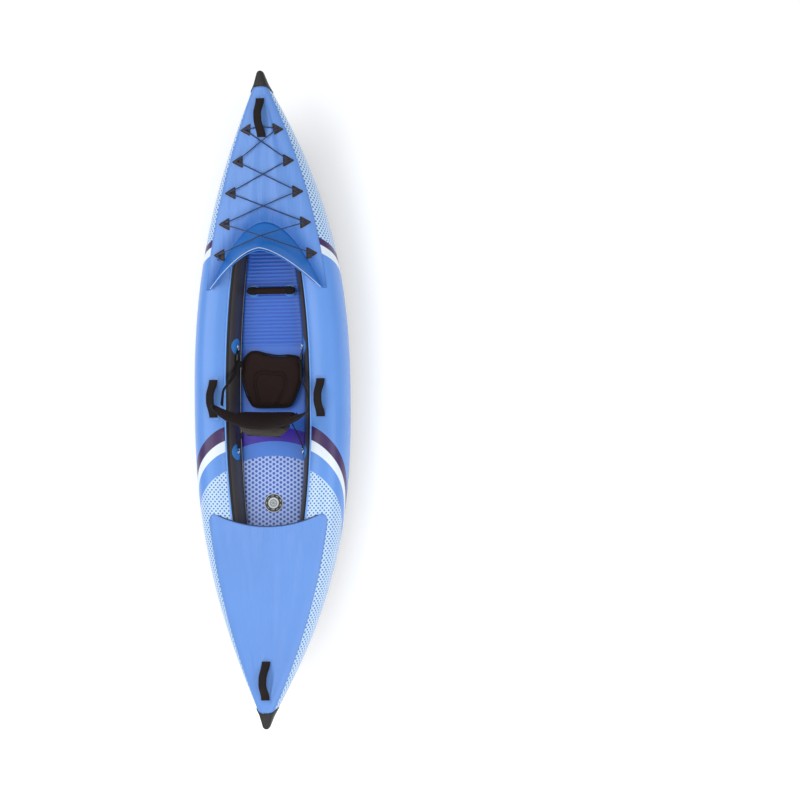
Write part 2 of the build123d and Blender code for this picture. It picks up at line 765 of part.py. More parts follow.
def snap_hooks():
    """Steel links between the wall rings and the straps."""
    found = []
    for x, sign in ((WALL_PATCH_FRONT, -1), (WALL_PATCH_REAR, 1)):
        middle = ring_place(x) + Vector(sign * (RING_RADIUS + 3.2 - RING_WIRE / 2 - 1), -4.6, 0)
        link = Pos(*tuple(middle)) * Rot(90, 0, 0) * Torus(SNAP_RADIUS, SNAP_WIRE / 2)
        found += link.solids()
    return both_sides(Compound(children=found))


def strap_buckles():
    """Side-squeeze buckles on the straight front run of the front straps."""
    first, second = [Vector(*p) for p in front_strap_points()[:2]]
    along = (second - first).normalized()
    place = Plane(origin=first + along * 40, z_dir=along, x_dir=(0, 0, 1))
    shell = Box(STRAP_WIDTH + BUCKLE_MARGIN, STRAP_THICKNESS + 8, BUCKLE_LENGTH)
    slot = Box(STRAP_WIDTH + 1, STRAP_THICKNESS + 1, BUCKLE_LENGTH * 2)
    return both_sides(place.location * (fillet(shell.edges(), 2.5) - slot))


# ------------------------------------------------------------------ footrest

def footrest_axis_z():
    return footrest_floor() + PATCH_THICKNESS + 0.8 + LOOP_WALL + 0.3 + FOOTREST_DIAMETER / 2


def footrest_floor():
    reach = FOOTREST_PATCH / 2
    return floor_top(FOOTREST_X + reach) + 0.5


def footrest_bar():
    bar = Rot(90, 0, 0) * Cylinder(FOOTREST_DIAMETER / 2, FOOTREST_LENGTH)
    bar = fillet(bar.edges(), 8)
    return pieces(Pos(FOOTREST_X, 0, footrest_axis_z()) * bar)


def footrest_patches():
    disc = Cylinder(FOOTREST_PATCH / 2, PATCH_THICKNESS, align=(Align.CENTER, Align.CENTER, Align.MIN))
    return both_sides(Pos(FOOTREST_X, FOOTREST_PATCH_Y, footrest_floor()) * disc)


def footrest_loops():
    inner = FOOTREST_DIAMETER / 2 + 0.3
    loop = Cylinder(inner + LOOP_WALL, LOOP_WIDTH) - Cylinder(inner, LOOP_WIDTH * 2)
    return both_sides(Pos(FOOTREST_X, FOOTREST_PATCH_Y, footrest_axis_z()) * Rot(90, 0, 0) * loop)


# ------------------------------------------------------------------ valves

def floor_valve_place():
    x = FLOOR_VALVE_X
    slope = (floor_top(x + 20) - floor_top(x - 20)) / 40
    return Pos(x, 0, floor_top(x) + 1) * Rot(0, -math.degrees(math.atan(slope)), 0)


def valve(flange):
    """A push-button air valve facing +Z: barrel, plunger, spring and hinged cap."""
    low = -VALVE_DEPTH
    top_face = (Align.CENTER, Align.CENTER, Align.MIN)
    barrel = Pos(0, 0, low) * Cylinder(VALVE_BARREL, VALVE_DEPTH, align=top_face)
    plate = Cylinder(flange, FLANGE_HEIGHT, align=top_face)
    bore = Pos(0, 0, low + VALVE_BASE) * Cylinder(VALVE_BORE, VALVE_DEPTH + 20, align=top_face)
    guide = Pos(0, 0, low - 1) * Cylinder(PLUNGER_GUIDE, 10, align=top_face)
    body = barrel + plate - bore - guide
    for turn in range(0, 360, 60):
        port = Rot(0, 0, turn) * Pos(VALVE_PORT_CIRCLE, 0, low) * Cylinder(VALVE_PORT_RADIUS, 20)
        body -= port
    for side in (-1, 1):
        lug = Pos(-HINGE_OFFSET, side * 9, FLANGE_HEIGHT) * Box(6, 4, 6, align=top_face)
        body += lug
    stem = Pos(0, 0, low - 6) * Cylinder(PLUNGER_STEM, VALVE_DEPTH - 4, align=top_face)
    button = Pos(0, 0, -PLUNGER_DROP) * Cylinder(PLUNGER_BUTTON, 3, align=top_face)
    seal = Pos(0, 0, low - 6) * Cylinder(PLUNGER_SEAL, 5.7, align=top_face)
    plunger = stem + button + seal
    spring_low = low + VALVE_BASE + 0.8
    spring_height = -PLUNGER_DROP - spring_low - 2 * SPRING_WIRE
    path = Helix(pitch=spring_height / SPRING_TURNS, height=spring_height, radius=SPRING_RADIUS)
    wire = Plane(origin=path @ 0, z_dir=path % 0) * Circle(SPRING_WIRE)
    spring = Pos(0, 0, spring_low) * sweep(wire, path=path)
    lid = Pos(0, 0, FLANGE_HEIGHT + 0.4) * Cylinder(CAP_RADIUS, CAP_HEIGHT, align=top_face)
    lid = fillet(lid.edges().sort_by(Axis.Z)[-1], 2)
    plug = Pos(0, 0, -2) * Cylinder(CAP_PLUG, FLANGE_HEIGHT + 3, align=top_face)
    arm = Pos(5 - HINGE_OFFSET, 0, FLANGE_HEIGHT + 1) * Box(14, CAP_ARM, 4, align=top_face)
    knuckle = Pos(-HINGE_OFFSET, 0, HINGE_HEIGHT) * Rot(90, 0, 0) * Cylinder(KNUCKLE_RADIUS, CAP_ARM + 3)
    cap = lid + plug + arm + knuckle
    return {"body": body, "plunger": plunger, "spring": spring, "cap": cap}


def valves():
    made = {}
    for part, solid in valve(FLOOR_VALVE_FLANGE).items():
        made[f"floor_valve_{part}"] = pieces(floor_valve_place() * solid)
    for part, solid in valve(SIDE_VALVE_FLANGE).items():
        port = pieces(side_valve_place() * solid)
        made[f"port_valve_{part}"] = port
        made[f"starboard_valve_{part}"] = starboard(port)
    return made


# ------------------------------------------------------------------ fin

def fin_place():
    """Frame of the fin box: on the hull's underside, its Z pointing down."""
    rise = (floor_bottom(FIN_X + 60) - floor_bottom(FIN_X - 60)) / 120
    low = floor_bottom(FIN_X - FIN_BOX_LENGTH / 2)
    high = floor_bottom(FIN_X + FIN_BOX_LENGTH / 2)
    tilt = Rot(0, -math.degrees(math.atan(rise)), 0)
    return Pos(FIN_X, 0, (low + high) / 2 - 1.2) * tilt * Rot(180, 0, 0)


def fin_box():
    top_face = (Align.CENTER, Align.CENTER, Align.MIN)
    length = FIN_BOX_LENGTH
    foot = FIN_FOOT_WIDTH / 2 + FIN_CLEARANCE
    plate = extrude(RectangleRounded(length + 30, FIN_PLATE_WIDTH, 12), FIN_PLATE)
    height = FIN_FOOT_HEIGHT + 2 * FIN_CLEARANCE + FIN_PLATE
    block = Pos(0, 0, FIN_PLATE) * Box(length, 2 * (foot + FIN_BOX_WALL), height, align=top_face)
    open_rear = Pos(-FIN_STOP, 0, FIN_PLATE)
    channel = open_rear * Box(length, 2 * foot, FIN_FOOT_HEIGHT + 2 * FIN_CLEARANCE, align=top_face)
    slit = open_rear * Box(length, FIN_BLADE + 2 * FIN_CLEARANCE, 40, align=top_face)
    return pieces(fin_place() * (plate + block - channel - slit))


def fin():
    """Swept skeg with a square foot that slides in the box from behind."""
    root = FIN_ROOT / 2
    depth = FIN_DEPTH
    low = FIN_PLATE + FIN_CLEARANCE
    tip = (-FIN_SWEEP, depth * 0.93)
    lead = Spline((root, low), (root * 0.15, depth * 0.52), (-FIN_SWEEP * 0.62, depth * 0.96), tip)
    trail = Spline(tip, (-FIN_SWEEP * 0.78, depth * 0.6), (-root, low))
    face = make_face([lead, trail, Line(trail @ 1, lead @ 0)])
    blade = extrude(Plane.XZ * face, FIN_BLADE / 2, both=True)
    foot = Box(FIN_ROOT, FIN_FOOT_WIDTH, FIN_FOOT_HEIGHT, align=(Align.CENTER, Align.CENTER, Align.MIN))
    return pieces(fin_place() * (blade + Pos(0, 0, low) * foot))


def build():
    made = dict(tube_covers())
    for panel in ("bottom_skin", "side_cover", "inner_wall"):
        made[f"starboard_{panel}"] = starboard(made[f"port_{panel}"])
    made["port_air_chamber"] = air_chamber()
    made["starboard_air_chamber"] = starboard(made["port_air_chamber"])
    made["floor_chamber"] = floor_chamber()
    made["bow_cap"] = end_cap(1)
    made["stern_cap"] = end_cap(-1)
    made["foredeck"] = foredeck()
    made["rear_deck"] = rear_deck()
    made["splash_visor"] = splash_visor()
    made["visor_hoop"] = visor_hoop()
    made["lacing_patches"], made["lacing_rings"] = lacing_patches()
    made["deck_lacing"] = deck_lacing()
    made["lacing_knots"] = lacing_knots()
    made.update(handles())
    made["seat_base"] = seat_base()
    made["backrest"] = backrest()
    made["back_pouch"] = back_pouch()
    made["wall_patches"] = wall_patches()
    made["wall_rings"] = wall_rings()
    made["snap_hooks"] = snap_hooks()
    made["front_seat_straps"] = both_sides(webbing(front_strap_points()))
    made["rear_seat_straps"] = both_sides(webbing(rear_strap_points()))
    made["strap_buckles"] = strap_buckles()
    made["footrest_bar"] = footrest_bar()
    made["footrest_patches"] = footrest_patches()
    made["footrest_loops"] = footrest_loops()
    made.update(valves())
    made["fin_box"] = fin_box()
    made["fin"] = fin()
    return made


os.makedirs("parts", exist_ok=True)
for node, shape in build().items():
    export_step(shape, f"parts/{node}.step")
    print(node, len(shape.solids()), "solids", round(shape.volume), "mm3")
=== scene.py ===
import json
import math

import bmesh
import bpy
import numpy as np
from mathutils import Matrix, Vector


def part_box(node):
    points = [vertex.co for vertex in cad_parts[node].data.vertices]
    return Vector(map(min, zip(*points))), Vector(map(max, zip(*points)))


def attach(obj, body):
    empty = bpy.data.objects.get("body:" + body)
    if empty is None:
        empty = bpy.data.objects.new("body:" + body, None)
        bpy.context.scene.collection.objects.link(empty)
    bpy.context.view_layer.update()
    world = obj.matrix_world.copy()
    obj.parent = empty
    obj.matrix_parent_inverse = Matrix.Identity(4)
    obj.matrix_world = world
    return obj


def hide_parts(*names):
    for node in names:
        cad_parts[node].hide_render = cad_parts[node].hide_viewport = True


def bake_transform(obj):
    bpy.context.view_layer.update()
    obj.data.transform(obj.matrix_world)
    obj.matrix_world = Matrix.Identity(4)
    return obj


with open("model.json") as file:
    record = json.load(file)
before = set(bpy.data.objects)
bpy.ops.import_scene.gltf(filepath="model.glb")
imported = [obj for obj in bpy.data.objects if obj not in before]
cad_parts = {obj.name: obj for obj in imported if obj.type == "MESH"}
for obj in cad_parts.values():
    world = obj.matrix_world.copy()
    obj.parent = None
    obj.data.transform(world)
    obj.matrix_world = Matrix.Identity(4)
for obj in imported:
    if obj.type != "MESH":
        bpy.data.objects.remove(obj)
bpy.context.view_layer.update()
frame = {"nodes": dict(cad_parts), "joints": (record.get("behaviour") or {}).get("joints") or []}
nodes = frame["nodes"]
print("frame loaded,", len(nodes), "nodes")

# the hull's own curves, in metres, the same as the CAD's
hull = {
    "halfLength": 1.625,
    "halfBeam": 0.395,
    "depth": 0.272,
    "bowRise": 0.132,
    "sternRise": 0.106,
    "bowKeelLift": 0.336,
    "sternKeelLift": 0.304,
    "tubeProud": 0.014,
    "flatness": 0.86,
    "squareness": 2.4,
    "capStart": 0.955,
    "floorThickness": 0.122,
    "deckGap": 0.0015,
    "deckCrown": 0.006,
    "deckSpread": 0.84,
    "keel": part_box("floor_chamber")[0].z,
}


def share(x):
    return np.abs(x) / hull["halfLength"]


def halfBreadth(x):
    return hull["halfBeam"] * (1 - share(x) ** 2.4) ** 1.05


def keelSweep(x):
    return np.where(x > 0, hull["bowKeelLift"], hull["sternKeelLift"]) * share(x) ** 3.1


def tubeBottom(x):
    return hull["keel"] + hull["tubeProud"] + keelSweep(x)


def tubeTop(x):
    rise = np.where(x > 0, hull["bowRise"], hull["sternRise"])
    return hull["keel"] + hull["depth"] + rise * share(x) ** 3


def tubeHalfHeight(x):
    return (tubeTop(x) - tubeBottom(x)) / 2


def tubeHalfWidth(x):
    return hull["flatness"] * tubeHalfHeight(x)


def tubeCentreY(x):
    return halfBreadth(x) - tubeHalfWidth(x)


def tubeCentreZ(x):
    return (tubeTop(x) + tubeBottom(x)) / 2


def innerGap(x):
    return halfBreadth(x) - 2 * tubeHalfWidth(x)


def floorTop(x):
    return hull["keel"] + keelSweep(x) + hull["floorThickness"]


def tubeSkinZ(x, y):
    across = np.clip(np.abs(y - tubeCentreY(x)) / tubeHalfWidth(x), 0, 1)
    drop = (1 - across ** hull["squareness"]) ** (1 / hull["squareness"])
    return tubeCentreZ(x) + tubeHalfHeight(x) * drop


def tubeSkinY(x, z):
    up = np.clip(np.abs(z - tubeCentreZ(x)) / tubeHalfHeight(x), 0, 1)
    out = (1 - up ** hull["squareness"]) ** (1 / hull["squareness"])
    return tubeCentreY(x) - tubeHalfWidth(x) * out


def deckZ(x, y):
    x, y = np.broadcast_arrays(np.asarray(x, float), np.abs(np.asarray(y, float)))
    crest = tubeCentreY(x)
    crown = hull["deckCrown"] * np.minimum(1, crest / 0.12)
    inner = np.clip(y / np.maximum(crest, 1e-4), 0, 1)
    between = tubeTop(x) + hull["deckGap"] + crown * (1 - inner ** 2) ** 2
    over = tubeSkinZ(x, y) + hull["deckGap"]
    return np.where((y >= crest) | (crest < 0.005), over, between)


def tubeGrid(side, xs, turns, grow=0.0):
    x, turn = np.meshgrid(xs, np.radians(turns), indexing="ij")
    power = 2 / hull["squareness"]
    cos, sin = np.cos(turn), np.sin(turn)
    y = tubeCentreY(x) + np.sign(cos) * np.abs(cos) ** power * (tubeHalfWidth(x) + grow)
    z = tubeCentreZ(x) + np.sign(sin) * np.abs(sin) ** power * (tubeHalfHeight(x) + grow)
    return np.stack([x, side * np.maximum(y, 0.0005), z], axis=-1)


def smooth(edge0, edge1, value):
    t = np.clip((value - edge0) / (edge1 - edge0), 0, 1)
    return t * t * (3 - 2 * t)


def meshPiece(name, points, faces, uv=None, angle=40):
    mesh = bpy.data.meshes.new(name)
    mesh.from_pydata([tuple(map(float, p)) for p in points], [], [tuple(map(int, f)) for f in faces])
    if uv is not None:
        layer = mesh.uv_layers.new(name="skin")
        corners = np.zeros(len(mesh.loops), np.int32)
        mesh.loops.foreach_get("vertex_index", corners)
        layer.data.foreach_set("uv", np.asarray(uv, float)[corners].ravel())
    mesh.shade_smooth()
    mesh.set_sharp_from_angle(angle=math.radians(angle))
    piece = bpy.data.objects.new(name, mesh)
    bpy.context.scene.collection.objects.link(piece)
    return piece


def gridFaces(rows, cols, flip=False, wrap=False):
    faces = []
    for i in range(rows - 1):
        for j in range(cols if wrap else cols - 1):
            k = (j + 1) % cols
            quad = (i * cols + j, (i + 1) * cols + j, (i + 1) * cols + k, i * cols + k)
            faces.append(quad[::-1] if flip else quad)
    return faces


def gridPiece(name, grid, flip=False, wrap=False, uv=None, caps=False, angle=40):
    rows, cols = grid.shape[:2]
    faces = gridFaces(rows, cols, flip, wrap)
    if caps:  # closes both ends of a wrapped grid
        first, last = tuple(range(cols)), tuple(range((rows - 1) * cols, rows * cols))
        faces += [first[::-1], last] if flip else [first, last[::-1]]
    flat = None if uv is None else uv.reshape(-1, 2)
    return meshPiece(name, grid.reshape(-1, 3), faces, flat, angle)


def tubeAlong(name, path, radius, sides=10, closed=False, flatten=1.0, up=(0, 0, 1)):
    path = np.asarray(path, float)
    ahead = np.roll(path, -1, 0) - path if closed else np.gradient(path, axis=0)
    ahead = ahead / np.linalg.norm(ahead, axis=1)[:, None]
    across = np.cross(ahead, np.array(up, float))
    across = across / np.linalg.norm(across, axis=1)[:, None]
    lift = np.cross(across, ahead)
    turns = np.linspace(0, 2 * math.pi, sides, endpoint=False)
    ring = np.cos(turns)[None, :, None] * across[:, None, :]
    ring = ring + flatten * np.sin(turns)[None, :, None] * lift[:, None, :]
    sizes = np.broadcast_to(np.asarray(radius, float), (len(path),))
    grid = path[:, None, :] + ring * sizes[:, None, None]
    length = np.concatenate([[0], np.cumsum(np.linalg.norm(np.diff(path, axis=0), axis=1))])
    uv = np.stack(np.broadcast_arrays(length[:, None], turns[None, :] / (2 * math.pi)), -1)
    if closed:
        rows, cols = grid.shape[:2]
        faces = gridFaces(rows + 1, cols, False, True)
        faces = [tuple(v % (rows * cols) for v in face) for face in faces]
        return outward(meshPiece(name, grid.reshape(-1, 3), faces, uv.reshape(-1, 2)))
    return outward(gridPiece(name, grid, wrap=True, uv=uv, caps=True))


def outward(piece):
    edit = bmesh.new()
    edit.from_mesh(piece.data)
    bmesh.ops.recalc_face_normals(edit, faces=edit.faces)
    edit.to_mesh(piece.data)
    edit.free()
    return piece


def bake(piece):
    # modifiers are turned into plain mesh
    graph = bpy.context.evaluated_depsgraph_get()
    mesh = bpy.data.meshes.new_from_object(piece.evaluated_get(graph), depsgraph=graph)
    piece.modifiers.clear()
    piece.data = mesh
    return piece


def thicken(piece, thickness, offset):
    wall = piece.modifiers.new("wall", "SOLIDIFY")
    wall.thickness = thickness
    wall.offset = offset
    return bake(piece)


def place(piece, material, replaced=(), body="hull"):
    if material is not None:
        piece.data.materials.clear()
        piece.data.materials.append(material)
    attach(piece, body)
    if replaced:
        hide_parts(*replaced)
    return piece


def repaint(names, material):
    for name in names:
        for slot in nodes[name].material_slots:
            slot.material = material


def link(tree, source, target):
    if isinstance(source, bpy.types.NodeSocket):
        tree.links.new(source, target)
    else:
        target.default_value = source


def calc(tree, operation, *values):
    made = tree.nodes.new("ShaderNodeMath")
    made.operation = operation
    for i, value in enumerate(values):
        link(tree, value, made.inputs[i])
    return made.outputs[0]


def ramp(tree, value, low, high, outLow=0.0, outHigh=1.0):
    made = tree.nodes.new("ShaderNodeMapRange")
    made.interpolation_type = "SMOOTHSTEP"
    for i, v in enumerate((value, low, high, outLow, outHigh)):
        link(tree, v, made.inputs[i])
    return made.outputs[0]


def band(tree, value, low, high, soft=0.0012):
    # 1 between low and high, with a short soft edge
    rising = ramp(tree, value, low - soft, low + soft)
    falling = ramp(tree, value, high - soft, high + soft)
    return calc(tree, "SUBTRACT", rising, falling)


def mix(tree, mask, first, second):
    made = tree.nodes.new("ShaderNodeMix")
    made.data_type = "RGBA"
    link(tree, mask, made.inputs[0])
    link(tree, first if not isinstance(first, tuple) else (*first, 1), made.inputs[6])
    link(tree, second if not isinstance(second, tuple) else (*second, 1), made.inputs[7])
    return made.outputs[2]


def noise(tree, vector, scale, detail=3.0, rough=0.55):
    made = tree.nodes.new("ShaderNodeTexNoise")
    link(tree, vector, made.inputs["Vector"])
    made.inputs["Scale"].default_value = scale
    made.inputs["Detail"].default_value = detail
    made.inputs["Roughness"].default_value = rough
    return made.outputs[0]


def split(tree, vector):
    made = tree.nodes.new("ShaderNodeSeparateXYZ")
    link(tree, vector, made.inputs[0])
    return made.outputs[0], made.outputs[1], made.outputs[2]


def useGroup(tree, group, **values):
    made = tree.nodes.new("ShaderNodeGroup")
    made.node_tree = group
    for name, value in values.items():
        link(tree, value, made.inputs[name])
    return made


def newGroup(name, inputs, outputs):
    tree = bpy.data.node_groups.new(name, "ShaderNodeTree")
    for socketName, kind, value in inputs:
        made = tree.interface.new_socket(socketName, in_out="INPUT", socket_type=kind)
        if value is not None:
            made.default_value = value
    for socketName, kind in outputs:
        tree.interface.new_socket(socketName, in_out="OUTPUT", socket_type=kind)
    return tree, tree.nodes.new("NodeGroupInput"), tree.nodes.new("NodeGroupOutput")


def makeWeave():
    # plain weave of coated cloth: crossing threads, with slow cloudy variation and light scuffs
    inputs = [("Vector", "NodeSocketVector", None), ("Threads", "NodeSocketFloat", 900.0)]
    outputs = [(name, "NodeSocketFloat") for name in ("Height", "Cloud", "Scuff")]
    tree, start, end = newGroup("weave", inputs, outputs)
    x, y, z = split(tree, start.outputs["Vector"])
    first = calc(tree, "MULTIPLY", calc(tree, "ADD", x, z), start.outputs["Threads"])
    second = calc(tree, "MULTIPLY", calc(tree, "ADD", y, z), start.outputs["Threads"])
    crossed = calc(tree, "MULTIPLY", calc(tree, "SINE", first), calc(tree, "SINE", second))
    fine = noise(tree, start.outputs["Vector"], 260.0, 2.0)
    tree.links.new(calc(tree, "MULTIPLY_ADD", fine, 0.6, crossed), end.inputs["Height"])
    tree.links.new(noise(tree, start.outputs["Vector"], 2.6, 3.0), end.inputs["Cloud"])
    scratch = noise(tree, start.outputs["Vector"], 34.0, 6.0, 0.7)
    tree.links.new(ramp(tree, scratch, 0.56, 0.74), end.inputs["Scuff"])
    return tree


def makeDots():
    # two staggered rows of round dots on a flat pattern
    inputs = [(n, "NodeSocketFloat", v) for n, v in (
        ("Along", 0.0), ("Across", 0.0), ("PitchAlong", 0.03), ("PitchAcross", 0.03), ("Radius", 0.006))]
    tree, start, end = newGroup("dots", inputs, [("Mask", "NodeSocketFloat")])
    distances = []
    for shift in (0.0, 0.5):
        squares = []
        for value, pitch in (("Along", "PitchAlong"), ("Across", "PitchAcross")):
            ratio = calc(tree, "DIVIDE", start.outputs[value], start.outputs[pitch])
            cell = calc(tree, "FRACT", calc(tree, "ADD", ratio, shift + 100.0))
            offset = calc(tree, "MULTIPLY", calc(tree, "SUBTRACT", cell, 0.5), start.outputs[pitch])
            squares.append(calc(tree, "MULTIPLY", offset, offset))
        distances.append(calc(tree, "SQRT", calc(tree, "ADD", *squares)))
    nearest = calc(tree, "MINIMUM", *distances)
    inside = calc(tree, "SUBTRACT", start.outputs["Radius"], nearest)
    tree.links.new(ramp(tree, inside, -0.0006, 0.0006), end.inputs["Mask"])
    return tree


def makeMoulding():
    # moulded rubber or plastic: fine grain, flow marks and rubbed spots
    inputs = [("Vector", "NodeSocketVector", None), ("Grain", "NodeSocketFloat", 700.0)]
    outputs = [(name, "NodeSocketFloat") for name in ("Height", "Rub", "Flow")]
    tree, start, end = newGroup("moulding", inputs, outputs)
    grain = tree.nodes.new("ShaderNodeTexVoronoi")
    tree.links.new(start.outputs["Vector"], grain.inputs["Vector"])
    tree.links.new(start.outputs["Grain"], grain.inputs["Scale"])
    tree.links.new(grain.outputs["Distance"], end.inputs["Height"])
    rub = noise(tree, start.outputs["Vector"], 45.0, 5.0, 0.65)
    tree.links.new(ramp(tree, rub, 0.52, 0.72), end.inputs["Rub"])
    tree.links.new(noise(tree, start.outputs["Vector"], 9.0, 2.0), end.inputs["Flow"])
    return tree


def makeTwill():
    # webbing: slanted ribs across its width
    inputs = [("Vector", "NodeSocketVector", None), ("Ribs", "NodeSocketFloat", 2200.0)]
    outputs = [(name, "NodeSocketFloat") for name in ("Height", "Fuzz")]
    tree, start, end = newGroup("twill", inputs, outputs)
    x, y, z = split(tree, start.outputs["Vector"])
    steep = calc(tree, "MULTIPLY", x, start.outputs["Ribs"])
    slow = calc(tree, "MULTIPLY", start.outputs["Ribs"], 0.8)
    slant = calc(tree, "ADD", steep, calc(tree, "MULTIPLY", calc(tree, "ADD", y, z), slow))
    tree.links.new(calc(tree, "SINE", slant), end.inputs["Height"])
    tree.links.new(noise(tree, start.outputs["Vector"], 420.0, 3.0), end.inputs["Fuzz"])
    return tree


weave, dots, moulding, twill = makeWeave(), makeDots(), makeMoulding(), makeTwill()


def newMaterial(name, roughness, metallic=0.0, sheen=0.0, coat=0.0, specular=0.5):
    made = bpy.data.materials.new(name)
    made.use_nodes = True
    tree = made.node_tree
    shader = tree.nodes["Principled BSDF"]
    shader.inputs["Roughness"].default_value = roughness
    shader.inputs["Metallic"].default_value = metallic
    shader.inputs["Sheen Weight"].default_value = sheen
    shader.inputs["Coat Weight"].default_value = coat
    shader.inputs["Specular IOR Level"].default_value = specular
    spots = tree.nodes.new("ShaderNodeTexCoord")
    return made, tree, shader, spots


def addBump(tree, shader, height, distance, strength=1.0):
    bump = tree.nodes.new("ShaderNodeBump")
    bump.inputs["Strength"].default_value = strength
    bump.inputs["Distance"].default_value = distance
    tree.links.new(height, bump.inputs["Height"])
    tree.links.new(bump.outputs["Normal"], shader.inputs["Normal"])


def roughen(tree, shader, wear, amount, clean):
    # worn spots are a little rougher than clean ones
    tree.links.new(calc(tree, "MULTIPLY_ADD", wear, amount, clean), shader.inputs["Roughness"])


def cloudy(tree, colour, cloud, amount=0.12):
    dark = tuple(c * (1 - amount) for c in colour)
    light = tuple(min(1.0, c * (1 + amount)) for c in colour)
    return mix(tree, cloud, dark, light)


def coatedCloth(name, colour, roughness=0.38, threads=900.0, depth=0.00012, coat=0.08, specular=0.5):
    made, tree, shader, spots = newMaterial(name, roughness, coat=coat, specular=specular)
    cloth = useGroup(tree, weave, Vector=spots.outputs["Object"], Threads=threads)
    tree.links.new(cloudy(tree, colour, cloth.outputs["Cloud"], 0.1), shader.inputs["Base Color"])
    roughen(tree, shader, cloth.outputs["Scuff"], 0.14, roughness)
    addBump(tree, shader, cloth.outputs["Height"], depth)
    return made


def mouldedFinish(name, colour, roughness, grain=700.0, metallic=0.0, depth=0.00015):
    made, tree, shader, spots = newMaterial(name, roughness, metallic)
    skin = useGroup(tree, moulding, Vector=spots.outputs["Object"], Grain=grain)
    worn = tuple(min(1.0, c * 1.7 + 0.015) for c in colour)
    tone = mix(tree, skin.outputs["Rub"], cloudy(tree, colour, skin.outputs["Flow"], 0.12), worn)
    tree.links.new(tone, shader.inputs["Base Color"])
    roughen(tree, shader, skin.outputs["Rub"], 0.12, roughness)
    addBump(tree, shader, skin.outputs["Height"], depth)
    return made


def wovenStrap(name, colour, ribs=2200.0, roughness=0.85):
    made, tree, shader, spots = newMaterial(name, roughness, sheen=0.04, specular=0.25)
    ribbing = useGroup(tree, twill, Vector=spots.outputs["Object"], Ribs=ribs)
    light = tuple(c * 1.9 for c in colour)
    tree.links.new(mix(tree, ribbing.outputs["Fuzz"], colour, light), shader.inputs["Base Color"])
    addBump(tree, shader, ribbing.outputs["Height"], 0.0004)
    return made


# printed side panels: stripes and dots follow the panel's own map, x along and arc length down
panelPrint = {
    "blue": (0.110, 0.285, 0.72),
    "purple": (0.046, 0.014, 0.098),
    "white": (0.76, 0.83, 0.90),
    "net": (0.50, 0.68, 0.88),
    "dot": (0.065, 0.150, 0.46),
    "frontEdge": 0.862,
    "frontSlope": 0.52,
    "frontWidths": (0.036, 0.080),
    "rearEdge": -0.132,
    "rearSlope": 0.3,
    "rearSweep": 3.6,
    "rearWidths": (0.070, 0.125, 0.222),
    "dotPitch": (0.0235, 0.0214),
    "dotRadius": 0.0046,
}


def sidePrint():
    made, tree, shader, spots = newMaterial("printedSide", 0.33, coat=0.15)
    cloth = useGroup(tree, weave, Vector=spots.outputs["Object"], Threads=900.0)
    along, down, _ = split(tree, spots.outputs["UV"])
    dotMask = useGroup(tree, dots, Along=along, Across=down, PitchAlong=panelPrint["dotPitch"][0],
                       PitchAcross=panelPrint["dotPitch"][1], Radius=panelPrint["dotRadius"])
    printed = mix(tree, dotMask.outputs["Mask"], panelPrint["net"], panelPrint["dot"])
    base = cloudy(tree, panelPrint["blue"], cloth.outputs["Cloud"], 0.08)
    sweep = calc(tree, "MULTIPLY", down, down)
    slope = calc(tree, "MULTIPLY", down, panelPrint["rearSlope"])
    rearRun = calc(tree, "MULTIPLY_ADD", sweep, panelPrint["rearSweep"], slope)
    rear = calc(tree, "SUBTRACT", calc(tree, "SUBTRACT", panelPrint["rearEdge"], rearRun), along)
    frontRun = calc(tree, "MULTIPLY", down, panelPrint["frontSlope"])
    front = calc(tree, "SUBTRACT", calc(tree, "SUBTRACT", panelPrint["frontEdge"], frontRun), along)
    a, b, c = panelPrint["rearWidths"]
    colour = mix(tree, ramp(tree, rear, c - 0.001, c + 0.001), base, printed)
    colour = mix(tree, band(tree, rear, a, b), colour, panelPrint["white"])
    colour = mix(tree, band(tree, rear, 0.0, a), colour, panelPrint["purple"])
    a, b = panelPrint["frontWidths"]
    colour = mix(tree, ramp(tree, front, -0.001, 0.001, 1.0, 0.0), colour, printed)
    colour = mix(tree, band(tree, front, a, b), colour, panelPrint["white"])
    colour = mix(tree, band(tree, front, 0.0, a), colour, panelPrint["purple"])
    tree.links.new(colour, shader.inputs["Base Color"])
    roughen(tree, shader, cloth.outputs["Scuff"], 0.12, 0.33)
    # the welded edges pucker a little under pressure
    ripple = calc(tree, "SINE", calc(tree, "MULTIPLY", along, 190.0))
    near = ramp(tree, down, 0.0, 0.03, 1.0, 0.0)
    height = calc(tree, "MULTIPLY_ADD", calc(tree, "MULTIPLY", ripple, near), 3.0, cloth.outputs["Height"])
    addBump(tree, shader, height, 0.00015)
    return made


floorPrintAndRibShade = {
    "blue": (0.030, 0.150, 0.64),
    # the darker blue for the valleys between the floor ribs is painted shade, not print
    "ribValleyShade": (0.012, 0.066, 0.42),
    "purple": (0.04, 0.012, 0.36),
    "band": (0.058, 0.20, 0.68),
    "net": (0.38, 0.52, 0.87),
    "dot": (0.05, 0.10, 0.47),
    "arc": 1.1,
    "purpleFrom": -0.135,
    "bandFrom": -0.206,
    "dotsFrom": -0.280,
    "dotPitch": (0.023, 0.036),
    "dotRadius": 0.0072,
}


